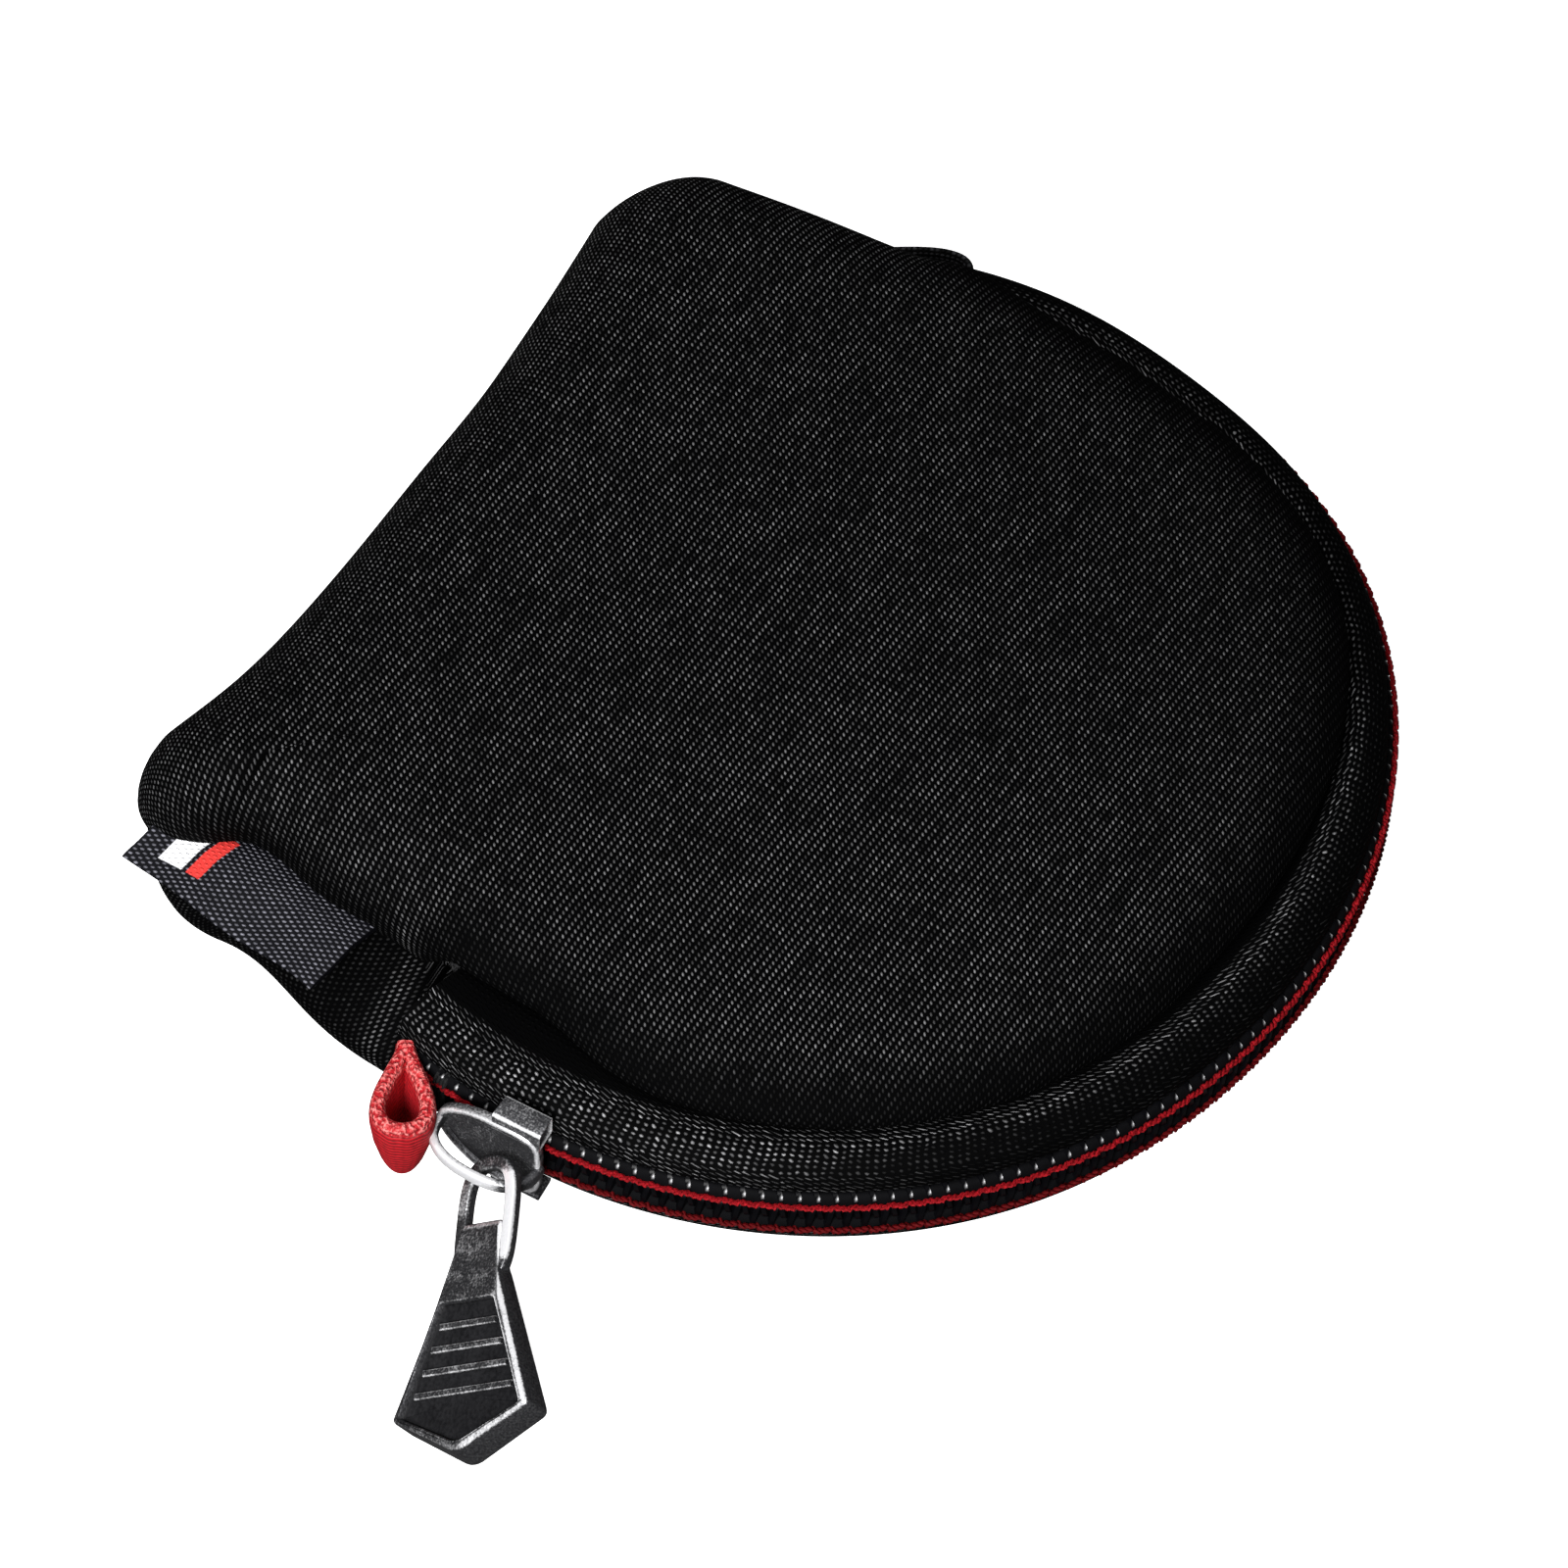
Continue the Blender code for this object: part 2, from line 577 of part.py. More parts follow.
def build_label(materials):
    """The woven label that stands out of the near side seam and droops a little."""
    half = LABEL_THICKNESS / 2
    slope = 2 * SIDE_TUCK / (SIDE_BELLY - SEAM_GAP / 2)
    mouth = (half + LABEL_SEAM_GAP * math.hypot(1, slope) - SEAM_GAP / 2) * slope
    root = -(PAD_RADIUS - SIDE_TUCK) - mouth
    rings = []
    for share in LABEL_SHARES:
        across = root - LABEL_WIDTH * share
        drift = LABEL_DRIFT * share
        height = MID - LABEL_DROOP * share * share
        rings.append([(across, LABEL_START + drift, height - half),
                      (across, LABEL_START + LABEL_LENGTH + drift, height - half),
                      (across, LABEL_START + LABEL_LENGTH + drift, height + half),
                      (across, LABEL_START + drift, height + half)])
    make_object("side_label", *loft(rings), materials["label"])


def slider_ring(place, inner, outer, low, high):
    """A rectangle across the slider at a place along the zip, plus towards its nose."""
    angle = -(SLIDER_REST_ANGLE + place / ZIP_RADIUS)
    return [on_arc(inner, angle, low), on_arc(outer, angle, low),
            on_arc(outer, angle, high), on_arc(inner, angle, high)]


def slider_half_width(place):
    """The plate's half width: a tail of even width, wide shoulders and a rounded nose."""
    half = SLIDER_LENGTH / 2
    if place <= 0:
        return SLIDER_TAIL + (SLIDER_SHOULDER - SLIDER_TAIL) * fade(place, -half, half)
    share = place / half
    return SLIDER_NOSE + (SLIDER_SHOULDER - SLIDER_NOSE) * math.sqrt(max(1 - share ** 3, 0.0))


def bail_place(offset):
    """The bail's middle line: radius at an offset from its middle, on half an ellipse."""
    share = offset / BAIL_HALF_LENGTH
    base = PLATE_OUTER_RADIUS - SLIDER_PLATE / 2
    return base + BAIL_RISE * math.sqrt(max(1 - share * share, 0.0))


def build_slider(materials, carrier):
    """The cast slider: face plate, back plate, the post between them, flanges and bail."""
    half = SLIDER_LENGTH / 2
    stations = [half * share for share in SLIDER_SHARES]
    rings = [slider_ring(place, PLATE_INNER_RADIUS, PLATE_OUTER_RADIUS,
                         -slider_half_width(place), slider_half_width(place)) for place in stations]
    slider = make_object("slider_body", *loft(rings), materials["gunmetal"], carrier)

    width = SLIDER_BACK_HALF_WIDTH
    rings = [slider_ring(place, BACK_PLATE_INNER_RADIUS, BACK_PLATE_OUTER_RADIUS,
                         -width * share, width * share)
             for place, share in zip(stations, BACK_PLATE_SHARES)]
    parts = [make_cutter("back_plate", *loft(rings), carrier)]

    nose_end = half - SLIDER_PLATE
    bury = SLIDER_PLATE / 2
    post = [slider_ring(place, BACK_PLATE_OUTER_RADIUS - bury, PLATE_INNER_RADIUS + bury,
                        -POST_THICKNESS / 2, POST_THICKNESS / 2)
            for place in (nose_end - POST_LENGTH, nose_end)]
    parts.append(make_cutter("post", *loft(post), carrier))

    tip = COIL_INNER_RADIUS + SLIDER_GAP / 2
    for side in (UP, DOWN):
        rings = []
        for place in [share * half for share in FLANGE_SHARES] + [FLANGE_START]:
            rim = slider_half_width(place) + SLIDER_GAP / 2
            low = COIL_OUTER_EDGE + SLIDER_GAP
            high = max(rim, low + FLANGE_THICKNESS)
            rings.append(slider_ring(place, tip, PLATE_OUTER_RADIUS - bury / 2,
                                     side * low, side * high))
        name = "upper_flange" if side == UP else "lower_flange"
        parts.append(make_cutter(name, *loft(rings), carrier))

    rings = []
    for step in range(BAIL_STEPS + 1):
        turn = math.pi * step / BAIL_STEPS
        offset = -BAIL_HALF_LENGTH * math.cos(turn)
        radius = bail_place(offset)
        angle = -(SLIDER_REST_ANGLE + offset / ZIP_RADIUS)
        lean = Vector((math.cos(turn) / BAIL_HALF_LENGTH, math.sin(turn) / BAIL_RISE)).normalized()
        ring = []
        for corner in range(SIDES_OF_BAIL):
            around = 2 * math.pi * (corner + 0.5) / SIDES_OF_BAIL
            rise = BAIL_THICKNESS / 2 * math.cos(around) / math.cos(math.pi / SIDES_OF_BAIL)
            height = BAIL_WIDTH / 2 * math.sin(around) / math.cos(math.pi / SIDES_OF_BAIL)
            shift = -lean.x * rise / ZIP_RADIUS
            ring.append(on_arc(radius + lean.y * rise, angle - shift, height))
        rings.append(ring)
    parts.append(make_cutter("bail", *loft(rings), carrier))
    for part in parts:
        add_boolean(slider, part, "UNION")


def pull_frame_matrix():
    """The pull's own axes at rest: X across it, Y along it from the eye to the tip."""
    offset = -PULL_OFFSET
    angle = -(SLIDER_REST_ANGLE + offset / ZIP_RADIUS)
    place = Vector(on_arc(bail_place(offset), angle, 0.0))
    along = Vector((-math.cos(PULL_HEADING) * math.cos(PULL_DROOP),
                    -math.sin(PULL_HEADING) * math.cos(PULL_DROOP), -math.sin(PULL_DROOP)))
    level = Vector((math.sin(PULL_HEADING), -math.cos(PULL_HEADING), 0.0))
    upward = level.cross(along) * -1
    across = level * math.cos(PULL_TWIST) + upward * math.sin(PULL_TWIST)
    through = across.cross(along)
    matrix = Matrix((across, along, through)).transposed().to_4x4()
    matrix.translation = place
    return matrix


def flat_ring(reach, half_width, low, high):
    """A rectangle across the pull at a distance along it."""
    return [(-half_width, reach, low), (half_width, reach, low),
            (half_width, reach, high), (-half_width, reach, high)]


def kite_rings(margin, low, high):
    """The field inside the paddle's raised rim, drawn in by margin all round."""
    slope = (SHOULDER_HALF_WIDTH - WAIST_HALF_WIDTH) / (SHOULDER_REACH - WAIST_REACH)
    tip_slope = (SHOULDER_HALF_WIDTH - TIP_HALF_WIDTH) / (TIP_REACH - SHOULDER_REACH)
    side_margin = margin * math.hypot(1, slope)
    start = RECESS_START + margin - RIM_WIDTH
    drop = margin * (math.hypot(1, tip_slope) + math.hypot(1, slope)) / (slope + tip_slope)
    wide = SHOULDER_REACH - drop + side_margin / (slope + tip_slope)
    end = TIP_REACH - margin * math.hypot(1, 1 / tip_slope)
    return [flat_ring(start, WAIST_HALF_WIDTH + slope * (start - WAIST_REACH) - side_margin, low, high),
            flat_ring(wide, WAIST_HALF_WIDTH + slope * (wide - WAIST_REACH) - side_margin, low, high),
            flat_ring(end, TIP_HALF_WIDTH / 2, low, high)]


def build_pull(materials, carrier):
    """The cast pull: a long eye, a waist and a kite-ended paddle with a dark inlay."""
    rod_start = -(BAIL_THICKNESS / 2 + PULL_GAP)
    eye_end = rod_start + EYE_HOLE_LENGTH
    thin, thick = EYE_THICKNESS / 2, PADDLE_THICKNESS / 2
    outline = (
        (rod_start - PULL_ROD, EYE_TOP_HALF_WIDTH, thin),
        (rod_start - PULL_ROD / 2, (EYE_TOP_HALF_WIDTH + EYE_HALF_WIDTH) / 2, thin),
        (rod_start + PULL_ROD / 2, EYE_HALF_WIDTH, thin),
        (eye_end - PULL_ROD, EYE_HALF_WIDTH, thin),
        (WAIST_REACH, WAIST_HALF_WIDTH, thick),
        (SHOULDER_REACH, SHOULDER_HALF_WIDTH, thick),
        (TIP_REACH, TIP_HALF_WIDTH, thick),
    )
    rings = [flat_ring(reach, half_width, -depth, depth) for reach, half_width, depth in outline]
    pull = make_object("pull_frame", *loft(rings), materials["gunmetal"], carrier)

    hole = EYE_HOLE_HALF_WIDTH
    deep = PADDLE_THICKNESS
    rings = [flat_ring(rod_start, hole * EYE_START_SHARE, -deep, deep),
             flat_ring(rod_start + PULL_ROD / 2, hole, -deep, deep),
             flat_ring(eye_end - PULL_ROD, hole * EYE_NECK_SHARE, -deep, deep),
             flat_ring(eye_end, hole * EYE_END_SHARE, -deep, deep)]
    add_boolean(pull, make_cutter("eye_hole", *loft(rings), carrier), "DIFFERENCE")

    floor = -thick + RECESS_DEPTH
    recess = make_cutter("recess", *loft(kite_rings(RIM_WIDTH, -deep, floor)), carrier)
    add_boolean(pull, recess, "DIFFERENCE")
    face = floor - INLAY_GAP
    inlay = kite_rings(RIM_WIDTH + INLAY_GAP, face - INLAY_THICKNESS, face)
    make_object("pull_inlay", *loft(inlay), materials["enamel"], carrier)


def build_case():
    """Put the whole case together."""
    clear_scene()
    materials = {
        "knit": make_material("black knit", (0.012, 0.012, 0.013), 0.75),
        "foam": make_material("grey foam", (0.10, 0.10, 0.10), 0.9),
        "lining": make_material("black lining", (0.02, 0.02, 0.022), 0.85),
        "tape": make_material("black woven tape", (0.010, 0.010, 0.011), 0.7),
        "coil": make_material("black nylon coil", (0.006, 0.006, 0.007), 0.25),
        "thread": make_material("red thread", (0.45, 0.01, 0.015), 0.55),
        "ribbon": make_material("red ribbon", (0.60, 0.015, 0.02), 0.6),
        "label": make_material("black label weave", (0.012, 0.012, 0.014), 0.6),
        "gunmetal": make_material("antique gunmetal", (0.22, 0.22, 0.23), 0.3, 1.0),
        "enamel": make_material("black enamel", (0.012, 0.012, 0.013), 0.45),
    }
    make_empty("lid_axis", Matrix.Translation((0.0, HINGE_REACH, CASE_THICKNESS)))
    build_padding(materials)
    build_zip(materials)
    build_ribbons(materials)
    build_label(materials)
    slider_axis = make_empty("slider_axis", Matrix.Identity(4))
    build_slider(materials, slider_axis)
    pull_axis = make_empty("pull_axis", pull_frame_matrix(), slider_axis)
    build_pull(materials, pull_axis)


build_case()
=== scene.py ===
"""Looks of a zipped, padded pouch for a round camera filter.

Sizes are in millimetres until a piece's mesh is made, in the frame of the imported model: the
case lies on its base, its round opening end points to -Y and its folded spine to +Y.
"""
import json
import math

import bmesh
import bpy
import numpy as np
from mathutils import Matrix, Vector


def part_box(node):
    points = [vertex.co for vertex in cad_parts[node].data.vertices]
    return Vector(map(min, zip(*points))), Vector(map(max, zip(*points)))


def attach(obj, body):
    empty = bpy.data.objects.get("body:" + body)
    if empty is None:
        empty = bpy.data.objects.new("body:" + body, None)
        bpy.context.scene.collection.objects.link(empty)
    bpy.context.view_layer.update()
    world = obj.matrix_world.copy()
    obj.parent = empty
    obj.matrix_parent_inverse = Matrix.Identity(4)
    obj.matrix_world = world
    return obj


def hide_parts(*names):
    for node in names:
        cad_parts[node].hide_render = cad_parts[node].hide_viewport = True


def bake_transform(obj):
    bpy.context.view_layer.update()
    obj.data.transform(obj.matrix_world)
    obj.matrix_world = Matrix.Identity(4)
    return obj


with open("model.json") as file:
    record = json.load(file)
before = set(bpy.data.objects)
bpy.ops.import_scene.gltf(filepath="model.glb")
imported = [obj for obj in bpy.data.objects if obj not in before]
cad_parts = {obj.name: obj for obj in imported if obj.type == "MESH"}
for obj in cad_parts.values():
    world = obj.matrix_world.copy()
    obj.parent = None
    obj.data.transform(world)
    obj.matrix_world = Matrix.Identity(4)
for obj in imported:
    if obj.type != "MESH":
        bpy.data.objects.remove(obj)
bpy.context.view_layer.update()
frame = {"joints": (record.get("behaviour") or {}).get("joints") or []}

# Knit covers
# Two D-shaped pieces of black ribbed knit on foam: one folds over the spine and the lid, and
# the other covers the base. They are sewn together down both short sides, drawn in deep, and
# their round edges roll in over the zip tape.
MM = 0.001
base_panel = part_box("base_outer_panel")
PAD_RADIUS = base_panel[1].x / MM
SPINE_REACH = base_panel[1].y / MM
SEAM_HALF_GAP = 0.15
MID = base_panel[1].z / MM + SEAM_HALF_GAP
HALF_HEIGHT = MID
CORNER_RADIUS = 8.5
SPINE_DIP = 2.2
CROWN_WIDTH = 7.8
LID_PUFF = 0.5
SIDE_TUCK, SIDE_BELLY = 1.7, 4.2
ZIP_TUCK, ZIP_BELLY = 1.1, 6.3
FOLD_BELLY = 0.8
ZIP_EDGE = 5.15
SEAM_START, SEAM_FADE = 9.0, 4.6
WAIST_TUCK = 2.6
KNIT_THICKNESS = 1.0
UP, DOWN = 1, -1
# How far the filled pads stand out past the plain plan: a place on it, then the upper and the
# lower half's amount there
PAD_SHAPE = (
    (36.2, 8.0, 0.9, 0.8), (36.2, 1.0, 0.0, 0.2), (35.4, -7.5, -0.2, 0.2), (32.8, -15.3, 0.6, 0.6),
    (28.5, -22.3, 1.6, 1.4), (22.0, -28.7, 1.8, 1.7), (14.0, -33.4, 1.0, 1.2), (5.0, -35.9, 0.2, 0.6),
    (-5.0, -35.9, -0.1, 0.4), (-14.0, -33.4, 0.6, 0.8), (-22.0, -28.7, 1.3, 1.2), (-28.5, -22.3, 1.7, 1.5),
    (-33.2, -14.4, 1.5, 1.3), (-35.8, -5.6, 0.6, 0.8), (-36.2, 2.5, -1.5, 0.5), (-36.2, 9.0, -1.9, 1.7),
    (-36.2, 16.0, -3.2, 1.7), (-36.2, 22.5, -3.7, -0.2), (-36.2, 27.5, -4.7, -1.4), (-35.3, 32.5, -1.9, -0.6),
    (-32.0, 36.0, 0.8, 0.2), (-26.0, 37.0, 0.8, 0.8), (-18.0, 35.9, 0.1, 0.1), (-9.0, 35.2, 0.1, 0.1),
    (0.0, 35.0, 0.1, 0.1), (11.0, 35.3, -0.5, -0.5), (21.0, 36.3, -0.9, -0.9), (29.5, 37.0, -1.4, -1.4),
    (34.6, 33.7, -1.5, -1.5), (36.2, 27.0, -0.7, -0.7), (36.2, 18.0, 0.3, 0.3),
)
SHAPE_SPREAD = 5.0


def fade(value, start, length):
    """0 before start, 1 past start + length, and smooth between them."""
    share = np.clip((value - start) / length, 0.0, 1.0)
    return share * share * (3 - 2 * share)


def plan_outline(front=230, side=46, corner=34, spine=110):
    """Points round the D-shaped plan, as centre + outward normal * reach, and a fold weight.

    The front is half a circle, the sides are straight, the corners are quarter circles, and
    the spine's reach dips by SPINE_DIP * (1 - x^2) between them.
    """
    turn = np.linspace(-math.pi / 2, math.pi / 2, front)
    up_side = np.linspace(0, SPINE_REACH - CORNER_RADIUS, side + 1)[1:-1]
    bend = np.linspace(0, math.pi / 2, corner)
    along = np.linspace(1, -1, spine)[1:-1]
    core_x, core_y = PAD_RADIUS - CORNER_RADIUS, SPINE_REACH - CORNER_RADIUS
    zero, one = np.zeros_like, np.ones_like
    pieces = [(zero(turn), zero(turn), np.sin(turn), -np.cos(turn), one(turn) * PAD_RADIUS, zero(turn))]
    for sign in (1, -1):
        straight = (zero(up_side), up_side, sign * one(up_side), zero(up_side),
                    one(up_side) * PAD_RADIUS, zero(up_side))
        rounded = (one(bend) * sign * core_x, one(bend) * core_y, sign * np.cos(bend), np.sin(bend),
                   one(bend) * CORNER_RADIUS, fade(bend, 0, math.pi / 2))
        pieces += [straight, rounded]
    back = (along * core_x, zero(along), zero(along), one(along),
            SPINE_REACH - SPINE_DIP * (1 - along ** 2), one(along))
    front_part, far, far_corner, near, near_corner = [np.array(piece) for piece in pieces]
    return np.hstack([front_part, far, far_corner, np.array(back),
                      near_corner[:, ::-1], near[:, ::-1]])


def nearness(points, places):
    """How near each point lies to each place: exp(-distance^2 / 2 SHAPE_SPREAD^2)."""
    away = ((points[:, None] - places) ** 2).sum(-1)
    return np.exp(-away / (2 * SHAPE_SPREAD ** 2))


centre_x, centre_y, normal_x, normal_y, plain_reach, fold = plan_outline()
outline = np.stack([centre_x + normal_x * plain_reach, centre_y + normal_y * plain_reach], -1)
shape = np.array(PAD_SHAPE)
# A smooth sum of bumps, one at each place, that takes exactly the amounts given there
bulges = nearness(outline, shape[:, :2]) @ np.linalg.solve(nearness(shape[:, :2], shape[:, :2]), shape[:, 2:])
reaches = {UP: plain_reach + bulges[:, 0], DOWN: plain_reach + bulges[:, 1]}
seam_reach = np.minimum(reaches[UP], reaches[DOWN]) - SIDE_TUCK
sewn = fade(outline[:, 1], SEAM_START, SEAM_FADE)
belly = ZIP_BELLY * (1 - sewn) + (SIDE_BELLY * (1 - fold) + FOLD_BELLY * fold) * sewn
edge = ZIP_EDGE * (1 - sewn) + SEAM_HALF_GAP * (1 - fold) * sewn


def pad_face(depth, side, puff, edge_rows, border_rows, middle_rows):
    """One face of a padded half, depth under its skin, from its sewn edge to its middle.

    The wall is drawn in by tuck * q^2 as q goes from 0 at the belly to 1 at the edge, and what
    lies under the skin by WAIST_TUCK more where the zip's gap closes to the sewn side. The
    border is a quarter ellipse from the belly to the flat face. The middle draws the border's
    last row in to the centre and lifts it by puff * (1 - share^2). The second array is the
    same cloth laid flat, in millimetres: the plan, with the wall's and border's length added.
    """
    q = np.linspace(1, 0, edge_rows)[:, None]
    turn = np.linspace(0, math.pi / 2, border_rows + 1)[1:, None]
    reach = reaches[side]
    tuck = ZIP_TUCK * (1 - sewn) + (reach - seam_reach) * (1 - fold) * sewn
    tuck = tuck + WAIST_TUCK * min(depth, 1.0) * 4 * sewn * (1 - sewn)
    top = HALF_HEIGHT - puff - depth
    inset = np.vstack([depth + tuck * q ** 2, depth + (CROWN_WIDTH - depth) * (1 - np.cos(turn)) + 0 * tuck])
    height = np.vstack([belly - (belly - edge) * q, belly + (top - belly) * np.sin(turn)])
    plan_x = centre_x + normal_x * (reach - inset)
    plan_y = centre_y + normal_y * (reach - inset)
    steps = np.hypot(np.diff(inset, axis=0), np.diff(height, axis=0))
    outward = np.vstack([np.cumsum(steps[::-1], axis=0)[::-1], np.zeros_like(reach)])
    flat_x, flat_y = plan_x[-1] + normal_x * outward, plan_y[-1] + normal_y * outward
    share = np.linspace(1, 0, middle_rows + 2)[1:-1, None]
    middle = np.stack([plan_x[-1] * share, plan_y[-1] * share, top + puff * (1 - share ** 2) + 0 * reach], -1)
    skin = np.concatenate([np.stack([plan_x, plan_y, height], -1), middle])
    skin[..., 2] = MID + side * skin[..., 2]
    laid = np.concatenate([np.stack([flat_x, flat_y], -1), middle[..., :2]])
    return skin, laid


def closed_skin(rings, laid=None, wear=None, poles=None):
    """One closed skin through rows of rings: quads between them, and a cap at each end.

    A cap is one flat face, or a fan to a pole where poles gives the two end points.
    """
    rows, columns = rings.shape[:2]
    index = np.arange(rows * columns).reshape(rows, columns)
    beside = np.roll(index, -1, 1)
    faces = np.stack([index[:-1], beside[:-1], beside[1:], index[1:]], -1).reshape(-1, 4).tolist()
    points = rings.reshape(-1, 3)
    laid = np.zeros((rows, columns, 2)) if laid is None else laid
    wear = np.zeros((rows, columns)) if wear is None else np.broadcast_to(wear, (rows, columns))
    laid, wear = laid.reshape(-1, 2), wear.reshape(-1)
    if poles is None:
        faces += [index[0][::-1].tolist(), index[-1].tolist()]
        return points, faces, laid, wear
    first, last = len(points), len(points) + 1
    faces += np.stack([beside[0], index[0], index[0] * 0 + first], -1).tolist()
    faces += np.stack([index[-1], beside[-1], index[-1] * 0 + last], -1).tolist()
    points = np.vstack([points, poles])
    laid = np.vstack([laid, np.array(poles)[:, :2]])
    return points, faces, laid, np.append(wear, [wear[0], wear[-1]])


def make_piece(name, skins, finish, body, stands_for, crease=50):
    """One object from closed skins: its mesh in metres, its cloth map and its wear and painted light, riding
    on a body.

    Where body is None the piece's place is baked into its mesh and it rides on no body.
    """
    points, faces, laid, wear = [], [], [], []
    for skin in skins:
        start = sum(len(block) for block in points)
        points.append(skin[0])
        faces += [[start + corner for corner in face] for face in skin[1]]
        laid.append(skin[2])
        wear.append(skin[3])
    mesh = bpy.data.meshes.new(name)
    mesh.from_pydata((np.vstack(points) * MM).tolist(), [], faces)
    work = bmesh.new()
    work.from_mesh(mesh)
    bmesh.ops.recalc_face_normals(work, faces=work.faces)
    work.to_mesh(mesh)
    work.free()
    corners = np.zeros(len(mesh.loops), dtype=np.int32)
    mesh.loops.foreach_get("vertex_index", corners)
    cloth = mesh.uv_layers.new(name="laid_flat")
    cloth.data.foreach_set("uv", np.vstack(laid)[corners].astype(np.float32).ravel())
    rubbed = mesh.attributes.new("wear", "FLOAT", "POINT")
    rubbed.data.foreach_set("value", np.concatenate(wear).astype(np.float32))
    mesh.shade_smooth()
    mesh.set_sharp_from_angle(angle=math.radians(crease))
    mesh.materials.append(finish.material)
    piece = bpy.data.objects.new(name, mesh)
    bpy.context.scene.collection.objects.link(piece)
    if body is None:
        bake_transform(piece)
    else:
        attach(piece, body)
    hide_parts(*stands_for)
    return piece


# Painted shade for the covers: the last rows towards the zip and the sewn sides darken, bar one small spot
SHADE_ROWS, SHADE_FADE, SHADE_DEPTH = 12, 8, 0.92
SIDE_SHADE_ROWS, SIDE_SHADE_FADE, SIDE_SHADE_DEPTH = 8, 8, 0.85
UNSHADED_SPOT_PLACE, UNSHADED_SPOT_SPREAD = 14.0, 0.8


def pad_layer(depth, thickness, side, puff):
    """A layer of a padded half: its outer face, a rounded rim and its inner face in one skin.

    The attribute it carries for the colour is painted shade: how far the cloth darkens where it rolls in
    towards the zip and the sewn sides. A small spot by the near end of the zip is left out of that
    painted shade, so it stays light.
    """
    outer, outer_laid = pad_face(depth, side, puff, 9, 14, 22)
    inner, inner_laid = pad_face(depth + thickness, side, puff, 5, 8, 8)
    rim = (outer[:1] + inner[:1]) / 2 + (outer[:1] - outer[1:2]) / 2
    rings = np.concatenate([outer[::-1], rim, inner])
    laid = np.concatenate([outer_laid[::-1], outer_laid[:1], inner_laid])
    poles = [(0, 0, MID + side * (HALF_HEIGHT - depth)),
             (0, 0, MID + side * (HALF_HEIGHT - depth - thickness))]
    from_edge = np.arange(len(outer))[::-1, None]
    shaded = np.zeros(rings.shape[:2])
    round_edge = (1 - fade(from_edge, SHADE_ROWS, SHADE_FADE)) * (1 - sewn) * SHADE_DEPTH
    unshaded_spot = np.exp(-((outline[:, 1] - UNSHADED_SPOT_PLACE) / UNSHADED_SPOT_SPREAD) ** 2)
    side_edge = (1 - fade(from_edge, SIDE_SHADE_ROWS, SIDE_SHADE_FADE)) * sewn * (1 - fold) * SIDE_SHADE_DEPTH
    shaded[:len(outer)] = round_edge + side_edge * (1 - unshaded_spot)
    return [closed_skin(rings, laid, wear=shaded, poles=poles)]


class Socket:
    """A value in a shader. Operators on it add Math nodes, and node() adds any other node."""

    def __init__(self, tree, out):
        self.tree, self.out = tree, out

    def node(self, kind, settings=(), values=(), output=0):
        """A node of any kind: its settings first, then its sockets' values or links."""
        made = self.tree.nodes.new(kind)
        for key, value in dict(settings).items():
            setattr(made, key, value)
        for key, value in dict(values).items():
            if isinstance(value, Socket):
                self.tree.links.new(value.out, made.inputs[key])
            else:
                made.inputs[key].default_value = value
        return Socket(self.tree, made.outputs[output])

    def maths(self, operation, *values, clamp=False):
        settings = {"operation": operation, "use_clamp": clamp}
        return self.node("ShaderNodeMath", settings, dict(enumerate(values)))

    def __add__(self, other):
        return self.maths("ADD", self, other)

    def __sub__(self, other):
        return self.maths("SUBTRACT", self, other)

    def __rsub__(self, other):
        return self.maths("SUBTRACT", other, self)

    def __mul__(self, other):
        return self.maths("MULTIPLY", self, other)

    def __truediv__(self, other):
        return self.maths("DIVIDE", self, other)

    def __pow__(self, other):
        return self.maths("POWER", self, other)

    __radd__, __rmul__ = __add__, __mul__

    def floor(self):
        return self.maths("FLOOR", self)

    def fract(self):
        return self.maths("FRACT", self)

    def clamped(self):
        return self.maths("ADD", self, 0.0, clamp=True)

    def parts(self):
        """The X and Y of a vector."""
        return [self.node("ShaderNodeSeparateXYZ", (), {0: self}, output) for output in (0, 1)]

    def speck(self, other):
        """A random value from 0 to 1 for each whole pair of self and other."""
        place = self.node("ShaderNodeCombineXYZ", (), {0: self.floor(), 1: other.floor()})
        return self.node("ShaderNodeTexWhiteNoise", {"noise_dimensions": "2D"}, {"Vector": place})

    def between(self, first, second):
        """A colour from first to second as the value goes from 0 to 1."""
        return self.node("ShaderNodeMix", {"data_type": "RGBA"}, {0: self, 6: first, 7: second}, 2)


class Finish:
    """One material: a Principled shader with its constants, and what varies over the surface."""

    def __init__(self, name, constants):
        self.material = bpy.data.materials.new(name)
        self.material.use_nodes = True
        self.tree = self.material.node_tree
        self.shader = self.tree.nodes["Principled BSDF"]
        for key, value in constants.items():
            self.shader.inputs[key].default_value = value
        self.start = Socket(self.tree, None)

    def laid_flat(self):
        """X and Y of the cloth laid flat, in millimetres."""
        return self.start.node("ShaderNodeUVMap", {"uv_map": "laid_flat"}).parts()

    def place(self):
        """The point on the piece, in metres."""
        return self.start.node("ShaderNodeTexCoord", output=3)

    def noise(self, size, detail=2.0):
        """Soft noise from 0 to 1 with patches about size millimetres across."""
        values = {"Vector": self.place(), "Scale": 1 / (size * MM), "Detail": detail}
        return self.start.node("ShaderNodeTexNoise", (), values)

    def wear(self):
        return self.start.node("ShaderNodeAttribute", {"attribute_name": "wear"}, output=2)

    def put(self, key, value):
        self.tree.links.new(value.out, self.shader.inputs[key])

    def relief(self, height, depth, strength=1.0):
        """Bump of a height from 0 to 1, depth millimetres deep."""
        values = {"Height": height, "Distance": depth * MM, "Strength": strength}
        self.put("Normal", self.start.node("ShaderNodeBump", (), values))


